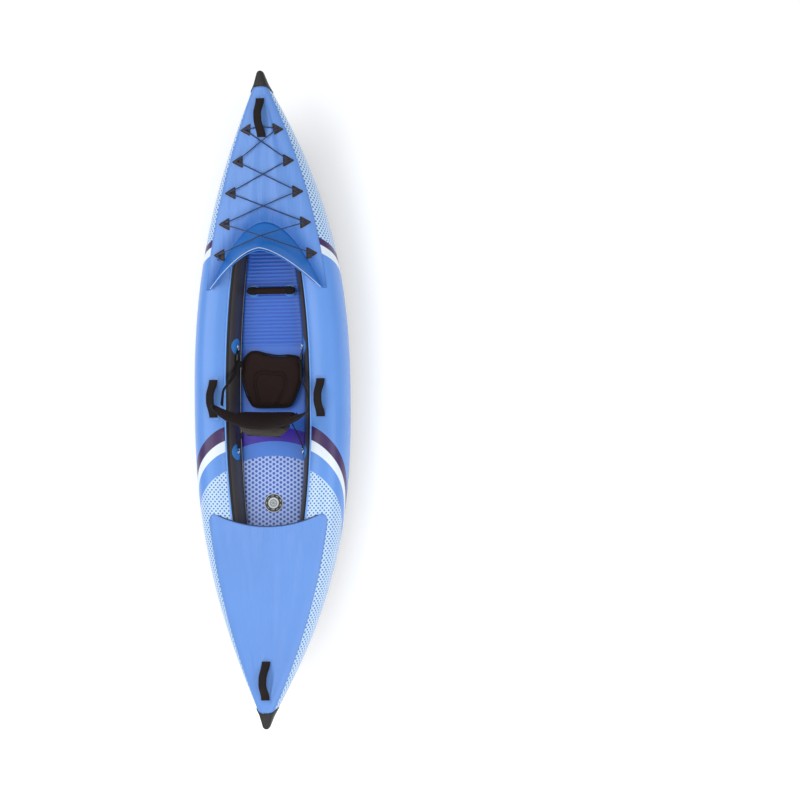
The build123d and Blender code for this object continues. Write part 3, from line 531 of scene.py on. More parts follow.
def floorFinish():
    made, tree, shader, spots = newMaterial("floorPrintAndRibShade", 0.36, coat=0.1)
    cloth = useGroup(tree, weave, Vector=spots.outputs["Object"], Threads=1100.0)
    x, y, _ = split(tree, spots.outputs["Object"])
    arc = calc(tree, "MULTIPLY", calc(tree, "MULTIPLY", y, y), floorPrintAndRibShade["arc"])
    aft = calc(tree, "ADD", x, arc)
    dotMask = useGroup(tree, dots, Along=x, Across=y, PitchAlong=floorPrintAndRibShade["dotPitch"][0],
                       PitchAcross=floorPrintAndRibShade["dotPitch"][1], Radius=floorPrintAndRibShade["dotRadius"])
    printed = mix(tree, dotMask.outputs["Mask"], floorPrintAndRibShade["net"], floorPrintAndRibShade["dot"])
    # painted shade: the valleys between the floor ribs are darkened towards the darker blue
    wave = calc(tree, "SINE", calc(tree, "MULTIPLY", x, 2 * math.pi / ribs["pitch"]))
    valleyShadeMask = ramp(tree, wave, -0.9, 0.1, 1.0, 0.0)
    ribbed = calc(tree, "MULTIPLY", valleyShadeMask, ramp(tree, x, ribs["from"] - 0.01, ribs["from"] + 0.01))
    shade = calc(tree, "MULTIPLY", ribbed, 0.75)
    blue = cloudy(tree, floorPrintAndRibShade["blue"], cloth.outputs["Cloud"], 0.1)
    colour = mix(tree, shade, blue, floorPrintAndRibShade["ribValleyShade"])
    areas = (("purpleFrom", floorPrintAndRibShade["purple"]), ("bandFrom", floorPrintAndRibShade["band"]), ("dotsFrom", printed))
    for name, paint in areas:
        edge = floorPrintAndRibShade[name]
        colour = mix(tree, ramp(tree, aft, edge - 0.001, edge + 0.001, 1.0, 0.0), colour, paint)
    tree.links.new(colour, shader.inputs["Base Color"])
    roughen(tree, shader, cloth.outputs["Scuff"], 0.14, 0.36)
    addBump(tree, shader, cloth.outputs["Height"], 0.00014)
    return made


def wallFinish():
    made, tree, shader, spots = newMaterial("innerWall", 0.42)
    cloth = useGroup(tree, weave, Vector=spots.outputs["Object"], Threads=900.0)
    _, down, _ = split(tree, spots.outputs["UV"])
    base = cloudy(tree, (0.058, 0.050, 0.050), cloth.outputs["Cloud"], 0.15)
    # near black band along the top of the wall: a dark tape, whose near black colour is partly painted shade
    # under the coaming edge
    tape = ramp(tree, down, 0.019, 0.021, 1.0, 0.0)
    tree.links.new(mix(tree, tape, base, (0.012, 0.010, 0.011)), shader.inputs["Base Color"])
    height = calc(tree, "MULTIPLY_ADD", tape, 5.0, cloth.outputs["Height"])
    addBump(tree, shader, height, 0.00015)
    roughen(tree, shader, cloth.outputs["Scuff"], 0.15, 0.42)
    return made


# angles in degrees
view = {
    "distance": 10.346,
    "hullTilt": 12.33,
    "axisTilt": 8.66,
    "ahead": -0.305,
    "yaw": -0.56,
    "pitch": 1.64,
    "lens": 93.61,
    "aimHeight": 0.36,
}

# each light: place, disk size, power and the spot it aims at
lights = {
    "key": ((1.0, 2.2, 3.8), 3.6, 74.0, (0.1, 0.0, 0.25)),
    "fill": ((-1.6, -2.4, 3.6), 3.6, 70.0, (-0.2, 0.0, 0.25)),
    "back": ((-3.4, 0.8, 2.8), 2.6, 32.0, (-0.3, 0.0, 0.25)),
}
studio = {
    "skyColour": (0.93, 0.96, 1.0, 1),
    "sky": 0.60,
    "groundHalf": 9,
    "paper": ((0.93, 0.935, 0.94), (0.95, 0.95, 0.95)),
    "glow": 0.22,
}


def makeView():
    tilt = math.radians(view["hullTilt"])
    camera = bpy.data.objects.new("camera", bpy.data.cameras.new("camera"))
    camera.data.lens = view["lens"]
    camera.data.sensor_width = 36
    camera.location = (view["ahead"], -view["distance"] * math.sin(tilt),
                       view["aimHeight"] + view["distance"] * math.cos(tilt))
    # the bow points up in the view, and port is on its left
    axis, pitch, yaw = (math.radians(view[key]) for key in ("axisTilt", "pitch", "yaw"))
    forward = Vector((math.sin(pitch), math.sin(axis) * math.cos(pitch), -math.cos(axis) * math.cos(pitch)))
    turn = forward.to_track_quat("-Z", "Y").to_matrix()
    upwards = Vector((math.cos(yaw), math.sin(yaw), 0))
    right = forward.cross(upwards).normalized()
    upwards = right.cross(forward)
    turn.col[0], turn.col[1], turn.col[2] = right, upwards, -forward
    camera.rotation_euler = turn.to_euler()
    bpy.context.scene.collection.objects.link(camera)
    bpy.context.scene.camera = camera
    for name, (spot, size, power, aim) in lights.items():
        lamp = bpy.data.lights.new(name, "AREA")
        lamp.shape = "DISK"
        lamp.size = size
        lamp.energy = power
        made = bpy.data.objects.new(name, lamp)
        made.location = spot
        made.rotation_euler = (Vector(aim) - Vector(spot)).to_track_quat("-Z", "Y").to_euler()
        bpy.context.scene.collection.objects.link(made)
    world = bpy.data.worlds.new("studio")
    world.use_nodes = True
    sky = world.node_tree.nodes["Background"]
    sky.inputs["Color"].default_value = studio["skyColour"]
    sky.inputs["Strength"].default_value = studio["sky"]
    bpy.context.scene.world = world
    bpy.context.scene.view_settings.view_transform = "Standard"
    half = studio["groundHalf"]
    corners = [(-half, -half, 0), (half, -half, 0), (half, half, 0), (-half, half, 0)]
    ground = meshPiece("ground", corners, [(0, 1, 2, 3)])
    paper, tree, shader, spots = newMaterial("palePaper", 0.9, specular=0.1)
    shade = noise(tree, spots.outputs["Object"], 0.8)
    tree.links.new(mix(tree, shade, *studio["paper"]), shader.inputs["Base Color"])
    shader.inputs["Emission Color"].default_value = (1, 1, 1, 1)
    shader.inputs["Emission Strength"].default_value = studio["glow"]
    ground.data.materials.append(paper)


makeView()
print("camera and light set")


skins = {
    "stations": 260,
    "coamingTurn": 122.2,
    "seamTurn": -37.4,
    "wall": 0.0018,
    "lap": 5.0,
    "liningGrow": -0.0004,
    "bottomGrow": 0.0009,
}


def stationsAlong(count, reach=None):
    # closer together towards the ends
    reach = reach or hull["capStart"] * hull["halfLength"]
    t = np.linspace(-1, 1, count)
    return reach * (t * 0.72 + 0.28 * np.sin(t * math.pi / 2))


def arcDown(grid):
    step = np.linalg.norm(np.diff(grid, axis=1), axis=2)
    return np.concatenate([np.zeros((grid.shape[0], 1)), np.cumsum(step, axis=1)], axis=1)


def skinPiece(name, side, turns, material, replaced, grow=0.0):
    xs = stationsAlong(skins["stations"])
    grid = tubeGrid(side, xs, turns, grow)
    uv = np.stack([grid[..., 0], arcDown(grid)], axis=-1)
    piece = gridPiece(name, grid, flip=side < 0, uv=uv)
    thicken(piece, skins["wall"], -1)
    return place(piece, material, replaced)


def makeSkins():
    side, wall = sidePrint(), wallFinish()
    bottom = coatedCloth("bottomSkin", (0.012, 0.012, 0.014), 0.4)
    top, seam, lap = skins["coamingTurn"], skins["seamTurn"], skins["lap"]
    for name, sign in (("port", 1), ("starboard", -1)):
        outer = np.linspace(top, seam, 44)
        inner = np.linspace(top, 180 - seam, 26)
        under = np.linspace(seam + lap, -180 - seam - lap, 26)
        skinPiece(f"{name}SidePanel", sign, outer, side, [f"{name}_side_cover"])
        lining = skinPiece(f"{name}InnerWall", sign, inner, wall, [f"{name}_inner_wall"],
                           skins["liningGrow"])
        lining.data.flip_normals()
        skinPiece(f"{name}BottomSkin", sign, under, bottom,
                  [f"{name}_bottom_skin", f"{name}_air_chamber"], skins["bottomGrow"])


piping = {"weltHalf": 1.0, "weltProud": 0.0012, "welt": 0.0042, "beadProud": 0.0008, "bead": 0.0022}


def makePiping():
    # light blue welt along the cockpit edge, and the raised tape on the outer seam
    welt = coatedCloth("weltBlue", (0.16, 0.38, 0.85), 0.35)
    tape = coatedCloth("seamTape", (0.014, 0.014, 0.016), 0.45)
    for name, sign in (("port", 1), ("starboard", -1)):
        xs = np.linspace(-piping["weltHalf"], piping["weltHalf"], 160)
        line = tubeGrid(sign, xs, [skins["coamingTurn"]], piping["weltProud"])[:, 0]
        place(tubeAlong(f"{name}CockpitWelt", line, piping["welt"], 10), welt)
        xs = stationsAlong(200)
        line = tubeGrid(sign, xs, [skins["seamTurn"] + skins["lap"]], piping["beadProud"])[:, 0]
        place(tubeAlong(f"{name}SeamBead", line, piping["bead"], 8), tape)


makeSkins()
makePiping()
print("hull skins made")


floor = {"sideGap": 0.0015, "edge": 0.016, "front": 1.295, "rear": -1.265}
ribs = {"pitch": 0.0185, "from": 0.275, "to": 0.80, "depth": 0.0022}


def roundedOutline(half, low, high, edge, topSteps=30, lowSteps=10, cornerSteps=5):
    points = []
    corners = ((1, 1, 0), (-1, 1, 90), (-1, -1, 180), (1, -1, 270))
    for sideY, sideZ, start in corners:
        cy, cz = sideY * (half - edge), (high - edge) if sideZ > 0 else (low + edge)
        for step in range(cornerSteps + 1):
            turn = math.radians(start + 90 * step / cornerSteps)
            points.append((cy + edge * math.cos(turn), cz + edge * math.sin(turn)))
        if start in (0, 180):
            steps = topSteps if start == 0 else lowSteps
            reach = 2 * (half - edge)
            for step in range(1, steps):
                y = -sideY * reach * step / steps
                points.append((cy + y, high if start == 0 else low))
    return points


def makeFloor():
    xs = np.concatenate([
        np.linspace(floor["rear"], ribs["from"], 80),
        np.arange(ribs["from"] + 0.002, ribs["to"], ribs["pitch"] / 7),
        np.linspace(0.805, floor["front"], 30),
    ])
    rows = []
    for x in xs:
        x = float(x)
        half = float(innerGap(x)) - floor["sideGap"]
        low = hull["keel"] + float(keelSweep(x))
        high = low + hull["floorThickness"]
        edge = min(floor["edge"], half / 3)
        rows.append([(x, y, z) for y, z in roundedOutline(half, low, high, edge)])
    grid = np.array(rows)
    x, y, z = grid[..., 0], grid[..., 1], grid[..., 2]
    high = floorTop(x)
    nearSide = smooth(innerGap(x) - 0.02, innerGap(x) - 0.03, np.abs(y))
    isTop = smooth(high - 0.004, high - 0.0005, z) * nearSide
    ribbed = smooth(ribs["from"] - 0.01, ribs["from"] + 0.01, x) * smooth(0.82, ribs["to"], x)
    wave = np.sin(x * 2 * math.pi / ribs["pitch"])
    grid[..., 2] = z + isTop * ribbed * (wave - 1) * ribs["depth"] / 2
    piece = outward(gridPiece("dropStitchFloor", grid, wrap=True, caps=True, angle=60))
    deep = coatedCloth("floorSide", (0.018, 0.022, 0.36), 0.4)
    under = coatedCloth("floorUnder", (0.16, 0.17, 0.18), 0.5)
    place(piece, floorFinish(), ["floor_chamber"])
    piece.data.materials.append(deep)
    piece.data.materials.append(under)
    for face in piece.data.polygons:
        if face.normal.z < -0.5:
            face.material_index = 2
        elif abs(face.normal.y) > 0.75:
            face.material_index = 1


makeFloor()
print("floor made")


visor = {
    "foot": 0.880,
    "run": 0.330,
    "lean": 0.140,
    "height": 0.140,
    "half": 0.284,
    "cloth": 0.0016,
    "hollow": 0.012,
    "arch": 0.2,
    "flatDepth": 0.26,
}
deck = {"cloth": 0.0018, "foldHeight": 0.0105, "bowEnd": 0.949, "rearEdge": -0.630, "scoop": 0.600}


def visorFootX(y):
    return visor["foot"] - visor["run"] * (np.abs(y) / visor["half"]) ** 1.9


def visorEdge(y):
    low = (np.abs(y) / visor["half"]) ** 1.55
    peak = visor["foot"] - visor["lean"]
    x = peak - (visor["run"] - visor["lean"]) * low
    z = tubeTop(peak) + hull["deckGap"] + 0.008 + visor["height"] * (1 - low)
    return x, z


def deckFolds(x, y, spread, freedom):
    # long soft folds that run towards the tip and fade over the tubes
    fan = y / np.maximum(spread, 0.02)
    wave = np.sin(fan * 9.5 + 1.3 * np.sin(x * 4.1)) * 0.5 + 0.5
    wave = wave * 0.7 + 0.3 * (np.sin(fan * 21.0 + x * 7.0 + 0.7) * 0.5 + 0.5)
    crest = np.maximum(tubeCentreY(x), 0.02)
    inside = smooth(0.92, 0.62, np.abs(y) / crest)
    return deck["foldHeight"] * wave * inside * freedom


def layDeck(name, grid, material, replaced, flip=False):
    piece = gridPiece(name, grid, flip=flip, uv=grid[..., :2])
    thicken(piece, deck["cloth"], 1)
    place(piece, material, [replaced])


def makeForedeck(material):
    across = np.linspace(-1, 1, 97)
    along = np.linspace(0, 1, 120)
    start = np.full(across.shape, 0.7)
    for _ in range(12):
        y = across * hull["deckSpread"] * halfBreadth(start)
        start = np.maximum(visorFootX(y) - 0.004, visor["foot"] - visor["run"])
    end = deck["bowEnd"] * hull["halfLength"]
    s, r = np.meshgrid(across, along, indexing="xy")
    x = start[None, :] + (end - start[None, :]) * r
    spread = hull["deckSpread"] * halfBreadth(x)
    y = s * spread
    z = deckZ(x, y)
    freedom = smooth(0.0, 0.12, r) * smooth(1.0, 0.8, r)
    z = z + deckFolds(x, y, spread, freedom)
    layDeck("foredeckCloth", np.stack([x, y, z], axis=-1), material, "foredeck")


def makeRearDeck(material):
    across = np.linspace(-1, 1, 97)
    along = np.linspace(0, 1, 100)
    start = np.full(across.shape, deck["rearEdge"])
    for _ in range(10):
        y = across * hull["deckSpread"] * halfBreadth(start)
        start = deck["rearEdge"] + deck["scoop"] - np.sqrt(np.maximum(deck["scoop"] ** 2 - y ** 2, 0.01))
        outer = np.clip((np.abs(across) - 0.82) / 0.18, 0, 1)  # the corners are cut round
        start = np.minimum(start, deck["rearEdge"] + 0.07) - 0.045 * (1 - np.sqrt(1 - outer ** 2))
    end = -deck["bowEnd"] * hull["halfLength"]
    s, r = np.meshgrid(across, along, indexing="xy")
    x = start[None, :] + (end - start[None, :]) * r
    spread = hull["deckSpread"] * halfBreadth(x)
    y = s * spread
    freedom = smooth(0.0, 0.1, r) * smooth(1.0, 0.8, r)
    z = deckZ(x, y) + deckFolds(-x, y, spread, freedom) * 0.8
    grid = np.stack([x, y, z], axis=-1)
    layDeck("rearDeckCloth", grid, material, "rear_deck", flip=True)
    gap = np.abs(grid[0][:, 1]) < tubeCentreY(grid[0][:, 0])  # only over the well, where the dark cord is painted shade under the deck edge
    # a dark navy cord along the rear deck's edge over the cockpit well: painted shade under the edge
    edgeShade = tubeAlong("rearDeckEdgeShade", grid[0][gap] + np.array([0, 0, 0.001]), 0.0028, 10)
    place(edgeShade, coatedCloth("edgeShadeNavy", (0.02, 0.035, 0.12), 0.5))


def makeVisor():
    parts = np.linspace(-0.985, 0.985, 81)
    heights = np.linspace(0, 1, 16)
    part, up = np.meshgrid(parts, heights, indexing="xy")
    y = visor["half"] * part
    footX = visorFootX(y)
    footZ = deckZ(footX, y) + 0.0035
    edgeX, edgeZ = visorEdge(y)
    # the cloth hollows a little between its foot and its hoop
    x = footX + (edgeX - footX) * up
    hollow = visor["hollow"] * np.sin(math.pi * up) * (edgeZ - footZ) / visor["height"]
    z = footZ + (edgeZ - footZ) * up - hollow
    grid = np.stack([x, y, z], axis=-1)
    piece = gridPiece("splashVisor", grid, flip=True, uv=np.stack([y, up * 0.2], axis=-1))
    thicken(piece, visor["cloth"], -1)
    outside = coatedCloth("visorBlue", (0.013, 0.155, 0.54), 0.36)
    place(piece, outside, ["splash_visor"])
    inside = coatedCloth("visorLining", (0.20, 0.24, 0.42), 0.5)
    piece.data.materials.append(inside)
    for face in piece.data.polygons:
        if face.normal.z < 0:
            face.material_index = 1
    white = coatedCloth("pipingWhite", (0.50, 0.60, 0.80), 0.45)
    place(tubeAlong("visorPiping", grid[-1], 0.0019, 10), white)
    repaint(["visor_hoop"], outside)


def deckFinish():
    # the light blue deck turns deeper where it is drawn up into the visor
    made, tree, shader, spots = newMaterial("deckCloth", 0.34, coat=0.12)
    cloth = useGroup(tree, weave, Vector=spots.outputs["Object"], Threads=900.0)
    x, y, _ = split(tree, spots.outputs["Object"])
    bend = calc(tree, "MULTIPLY", calc(tree, "MULTIPLY", y, y), 4.1)
    ahead = calc(tree, "SUBTRACT", calc(tree, "ADD", x, bend), visor["foot"])
    strain = calc(tree, "MULTIPLY", ramp(tree, ahead, 0.0, 0.15, 1.0, 0.0), ramp(tree, x, 0.4, 0.5))
    base = cloudy(tree, (0.118, 0.275, 0.68), cloth.outputs["Cloud"], 0.1)
    tree.links.new(mix(tree, strain, base, (0.010, 0.135, 0.50)), shader.inputs["Base Color"])
    streaks = tree.nodes.new("ShaderNodeMapping")
    streaks.inputs["Scale"].default_value = (1.2, 16.0, 1.0)
    tree.links.new(spots.outputs["Object"], streaks.inputs["Vector"])
    streak = noise(tree, streaks.outputs["Vector"], 1.6, 3.0)
    height = calc(tree, "MULTIPLY_ADD", streak, 26.0, cloth.outputs["Height"])
    addBump(tree, shader, height, 0.00030)
    roughen(tree, shader, cloth.outputs["Scuff"], 0.12, 0.34)
    return made


deckBlue = deckFinish()
makeForedeck(deckBlue)
makeRearDeck(deckBlue)
makeVisor()
print("decks made")


def through(a, b, c, d, f):
    # the part of a smooth line between b and c
    square, cube = 2 * a - 5 * b + 4 * c - d, 3 * b - a - 3 * c + d
    return 0.5 * (2 * b + (c - a) * f + square * f ** 2 + cube * f ** 3)


def closedCurve(points, count):
    points = np.asarray(points, float)
    total = len(points)
    t = np.linspace(0, total, count, endpoint=False)
    k = np.floor(t).astype(int)
    f = (t - k)[:, None]
    return through(*(points[(k + shift) % total] for shift in (-1, 0, 1, 2)), f)


def openCurve(points, count):
    points = np.asarray(points, float)
    padded = np.vstack([2 * points[0] - points[1], points, 2 * points[-1] - points[-2]])
    t = np.linspace(0, len(points) - 1 - 1e-6, count)
    k = np.floor(t).astype(int)
    f = (t - k)[:, None]
    return through(*(padded[k + shift] for shift in (0, 1, 2, 3)), f)


def readPoints(piece):
    points = np.zeros(len(piece.data.vertices) * 3)
    piece.data.vertices.foreach_get("co", points)
    return points.reshape(-1, 3)


def writePoints(piece, points):
    piece.data.vertices.foreach_set("co", np.asarray(points, float).ravel())
    piece.data.update()


def slab(name, outline, low, high, softness=0.012):
    # a flat-bottomed block over an outline, with rounded edges
    count = len(outline)
    points = [(x, y, low) for x, y in outline] + [(x, y, high) for x, y in outline]
    faces = [tuple(range(count)), tuple(range(count, 2 * count))]
    faces += [(i, (i + 1) % count, count + (i + 1) % count, count + i) for i in range(count)]
    piece = outward(meshPiece(name, points, faces))
    soft = piece.modifiers.new("soft", "BEVEL")
    soft.width = softness
    soft.segments = 4
    soft.limit_method = "ANGLE"
    return bake(piece)


def puff(piece, voxel, pressure, cap):
    # remesh evenly, then let cloth under pressure swell, each point by no more than the cap
    even = piece.modifiers.new("even", "REMESH")
    even.mode = "VOXEL"
    even.voxel_size = voxel
    bake(piece)
    rest = readPoints(piece)
    cloth = piece.modifiers.new("puff", "CLOTH")
    cloth.settings.quality = 5
    cloth.settings.mass = 0.3
    cloth.settings.tension_stiffness = 12
    cloth.settings.bending_stiffness = 0.6
    cloth.settings.use_pressure = True
    cloth.settings.uniform_pressure_force = pressure
    cloth.settings.effector_weights.gravity = 0
    cloth.point_cache.frame_start = 1
    cloth.point_cache.frame_end = 20
    for step in range(1, cloth.point_cache.frame_end + 1):
        bpy.context.scene.frame_set(step)
    bake(piece)
    shift = readPoints(piece) - rest
    length = np.linalg.norm(shift, axis=1)[:, None]
    writePoints(piece, rest + shift * np.minimum(1, cap / np.maximum(length, 1e-6)))
    bpy.context.scene.frame_set(1)
    finer = piece.modifiers.new("finer", "SUBSURF")
    finer.levels = finer.render_levels = 1
    bake(piece)
    piece.data.shade_smooth()
    return piece


def groove(piece, lines, depth, width):
    # sewn channels: points near the lines sink into the pad
    points = readPoints(piece)
    normals = np.zeros(len(points) * 3)
    piece.data.vertices.foreach_get("normal", normals)
    normals = normals.reshape(-1, 3)
    nearest = np.full(len(points), 1.0)
    for line in lines:
        for spot in line:
            nearest = np.minimum(nearest, np.linalg.norm(points - spot, axis=1))
    sink = depth * np.exp(-(nearest / width) ** 2)
    writePoints(piece, points - normals * sink[:, None])


def dropOn(piece, line, height=1.5, lift=0.0):
    # the points of a flat line, put down on top of a piece
    graph = bpy.context.evaluated_depsgraph_get()
    found = []
    for x, y in line:
        solid = piece.evaluated_get(graph)
        hit, spot, normal, _ = solid.ray_cast(Vector((x, y, height)), Vector((0, 0, -1)))
        if hit:
            found.append(spot + normal * lift)
    return np.array(found)


def makeStitchTree():
    # short threads set at even steps along a line
    tree = bpy.data.node_groups.new("stitchRun", "GeometryNodeTree")
    tree.interface.new_socket("Line", in_out="INPUT", socket_type="NodeSocketGeometry")
    sockets = {}
    for name, kind, value in (("Spacing", "NodeSocketFloat", 0.006), ("Length", "NodeSocketFloat", 0.004),
                              ("Radius", "NodeSocketFloat", 0.0006), ("Thread", "NodeSocketMaterial", None)):
        made = tree.interface.new_socket(name, in_out="INPUT", socket_type=kind)
        if value is not None:
            made.default_value = value
        sockets[name] = made.identifier
    tree.interface.new_socket("Stitches", in_out="OUTPUT", socket_type="NodeSocketGeometry")
    start, end = tree.nodes.new("NodeGroupInput"), tree.nodes.new("NodeGroupOutput")
    line = tree.nodes.new("GeometryNodeMeshToCurve")
    spots = tree.nodes.new("GeometryNodeCurveToPoints")
    spots.mode = "LENGTH"
    thread = tree.nodes.new("GeometryNodeMeshCylinder")
    thread.inputs["Vertices"].default_value = 6
    onSpots = tree.nodes.new("GeometryNodeInstanceOnPoints")
    real = tree.nodes.new("GeometryNodeRealizeInstances")
    paint = tree.nodes.new("GeometryNodeSetMaterial")
    links = tree.links
    links.new(start.outputs["Line"], line.inputs["Mesh"])
    links.new(line.outputs["Curve"], spots.inputs["Curve"])
    links.new(start.outputs["Spacing"], spots.inputs["Length"])
    links.new(start.outputs["Length"], thread.inputs["Depth"])
    links.new(start.outputs["Radius"], thread.inputs["Radius"])
    links.new(spots.outputs["Points"], onSpots.inputs["Points"])
    links.new(spots.outputs["Rotation"], onSpots.inputs["Rotation"])
    links.new(thread.outputs["Mesh"], onSpots.inputs["Instance"])
    links.new(onSpots.outputs["Instances"], real.inputs["Geometry"])
    links.new(real.outputs["Geometry"], paint.inputs["Geometry"])
    links.new(start.outputs["Thread"], paint.inputs["Material"])
    links.new(paint.outputs["Geometry"], end.inputs["Stitches"])
    return tree, sockets


stitchTree, stitchSockets = makeStitchTree()


def sew(name, lines, material, body="hull", spacing=0.0062, length=0.0042, radius=0.0006):
    points, edges = [], []
    for line in lines:
        first = len(points)
        points += [tuple(map(float, p)) for p in line]
        edges += [(first + i, first + i + 1) for i in range(len(line) - 1)]
    mesh = bpy.data.meshes.new(name)
    mesh.from_pydata(points, edges, [])
    piece = bpy.data.objects.new(name, mesh)
    bpy.context.scene.collection.objects.link(piece)
    run = piece.modifiers.new("run", "NODES")
    run.node_group = stitchTree
    run[stitchSockets["Spacing"]] = spacing
    run[stitchSockets["Length"]] = length
    run[stitchSockets["Radius"]] = radius
    run[stitchSockets["Thread"]] = material
    bake(piece)
    return place(piece, material, body=body)


seat = {
    "outline": [(0.200, 0.146), (0.236, 0.118), (0.246, 0.082), (0.233, 0.030), (0.222, -0.033),
                (0.224, -0.088), (0.213, -0.134), (0.186, -0.149), (0.120, -0.152), (0.050, -0.134),
                (-0.012, -0.108), (-0.034, -0.080), (-0.036, 0.0), (-0.034, 0.080), (-0.012, 0.110),
                (0.050, 0.138), (0.120, 0.153), (0.172, 0.153)],
    "panel": [(-0.026, 0.066), (0.035, 0.082), (0.092, 0.090), (0.128, 0.080), (0.146, 0.048),
              (0.139, 0.006), (0.136, -0.040), (0.124, -0.068), (0.088, -0.078), (0.030, -0.058),
              (-0.028, -0.030)],
    "startShare": 0.975,
    "voxel": 0.0045,
    "pressure": 4.0,
    "puff": 0.007,
    "channel": 0.0060,
    "channelWidth": 0.0052,
    "panelCentre": (0.05, 0.006),
    "innerShare": 0.86,
    "bucketDepth": 0.005,
    "pipe": 0.0042,
    "fill": 0.55,
}
seatCloth = coatedCloth("seatCloth", (0.0270, 0.0155, 0.0138), 0.85, 2600.0, 0.00035, 0.0, 0.12)
seatPipe = wovenStrap("seatPipe", (0.006, 0.005, 0.006), 2600.0)
thread = coatedCloth("thread", (0.0045, 0.0025, 0.0022), 0.7, coat=0.0, specular=0.1)


def makeSeat():
    low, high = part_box("seat_base")
    outline = closedCurve(seat["outline"], 120)
    middle = outline.mean(axis=0)
    start = middle + (outline - middle) * seat["startShare"]
    piece = slab("seatPad", start, low.z + 0.001, high.z - 0.008, 0.013)
    puff(piece, seat["voxel"], seat["pressure"], seat["puff"])
    points = readPoints(piece)
    # the cloth draws in a little, so the pad is let out to its piping again
    for side in (0, 1):
        near, far = points[:, side].min(), points[:, side].max()
        first, last = outline[:, side].min() + 0.001, outline[:, side].max() - 0.001
        points[:, side] = first + (points[:, side] - near) * (last - first) / (far - near)
    # bucket: the middle sits lower than the lobes and sides, and the bottom stays on the floor
    reach = np.hypot((points[:, 0] - 0.09) / 0.15, points[:, 1] / 0.15)
    raised = smooth(low.z + 0.012, high.z - 0.006, points[:, 2])
    points[:, 2] += raised * (0.006 * smooth(0.35, 0.9, reach) - seat["bucketDepth"])
    points[:, 2] = np.maximum(points[:, 2], low.z + 0.0004)
    writePoints(piece, points)
    panel = openCurve(seat["panel"], 160)
    centre = np.array(seat["panelCentre"])
    inner = centre + (panel - centre) * seat["innerShare"]
    lines = [dropOn(piece, panel), dropOn(piece, inner)]
    groove(piece, lines, seat["channel"], seat["channelWidth"])
    place(piece, seatCloth, ["seat_base"])
    lines = [dropOn(piece, panel, lift=0.0004), dropOn(piece, inner, lift=0.0004)]
    sew("seatStitching", lines, thread)
    edge = np.column_stack([middle + (outline - middle) * 1.004, np.full(len(outline), high.z - 0.011)])
    place(tubeAlong("seatEdgePiping", edge, seat["pipe"], 10, closed=True), seatPipe)


back = {
    "heights": [0.006, 0.090, 0.175, 0.232, 0.275, 0.325, 0.362, 0.380],
    "halves": [0.130, 0.146, 0.149, 0.208, 0.234, 0.222, 0.172, 0.114],
    "wraps": [0.0, 0.014, 0.022, 0.055, 0.075, 0.067, 0.040, 0.017],
    "depths": [0.020, 0.022, 0.021, 0.019, 0.016, 0.013, 0.010, 0.008],
    "recline": 12,
    "askew": 0.085,
    "foot": 0.006,
    "top": 0.378,
    "voxel": 0.0045,
    "pressure": 3.0,
    "puff": 0.006,
    "channel": 0.0030,
    "channelWidth": 0.0042,
    "channelInsets": (0.80, 0.74),
    "pipe": 0.0038,
    "fill": 0.5,
}


def jointNamed(name):
    return next(joint for joint in frame["joints"] if joint["name"] == name)


hingeAt = Vector(jointNamed("backrest_fold")["pos_m"])


def leanBack(points):
    turn = math.radians(back["recline"])
    x, z = points[..., 0], points[..., 2]
    moved = np.array(points, float)
    rise = np.clip(z / 0.25, 0, 1)  # the top hangs a little crooked in its straps
    moved[..., 0] = hingeAt.x + x * math.cos(turn) - z * math.sin(turn)
    moved[..., 0] += back["askew"] * points[..., 1] * rise
    moved[..., 2] = hingeAt.z + x * math.sin(turn) + z * math.cos(turn)
    return moved


def backProfile(values, heights):
    rows = openCurve(np.column_stack([back["heights"], back[values]]), 200)
    return np.interp(heights, rows[:, 0], rows[:, 1])


def backFront(u, height, lift=0.0):
    half, wrap = backProfile("halves", height), backProfile("wraps", height)
    return np.stack([wrap * u * u + lift, half * u, height * np.ones_like(u)], axis=-1)


def makeBackrest():
    heights = np.linspace(back["foot"], back["top"], 90)
    across = np.linspace(-1, 1, 60)
    rows = []
    for height in heights:
        front = backFront(across, np.array(height), -0.002)
        rear = front[::-1].copy()
        # rounded at the sides
        fall = np.sqrt(np.clip(1 - np.abs(across) ** 6, 0, 1))[::-1]
        rear[:, 0] -= backProfile("depths", height) * fall + 0.002
        rows.append(np.vstack([front, rear]))
    piece = outward(gridPiece("backrestPad", leanBack(np.array(rows)), wrap=True, caps=True))
    puff(piece, back["voxel"], back["pressure"], back["puff"])
    lines = []
    for inset in back["channelInsets"]:
        u = np.linspace(-inset, inset, 60)
        lines.append(leanBack(backFront(u, 0.075 + 0.22 * np.abs(u) ** 3)))
        lines.append(leanBack(backFront(u, 0.345 - 0.06 * np.abs(u) ** 2)))
    groove(piece, lines, back["channel"], back["channelWidth"])
    place(piece, seatCloth, ["backrest"], body="backrest")
    lines = [line + np.array([0.0015, 0, 0]) for line in lines]
    sew("backrestStitching", lines, thread, "backrest")
    rim = []
    for height in np.linspace(0.02, 0.372, 60):
        rim.append(backFront(np.array([1.0]), np.array(height), -0.006)[0])
    top = [backFront(np.array([u]), np.array(0.379), -0.004)[0] for u in np.linspace(0.9, -0.9, 24)]
    left = [p * np.array([1, -1, 1]) for p in rim[::-1]]
    line = leanBack(np.array(rim + top + left))
    pipe = tubeAlong("backrestPiping", line, back["pipe"], 10, up=(0.9, 0, 0.3))
    place(pipe, seatPipe, body="backrest")


pouch = {
    "front": -0.030,
    "depth": 0.048,
    "half": 0.102,
    "low": 0.106,
    "tall": 0.122,
    "softness": 0.014,
    "voxel": 0.005,
    "pressure": 3.0,
    "puff": 0.006,
    "fill": 0.45,
    "zipAt": (-0.082, 0.205),
    "zipHalf": 0.085,
}


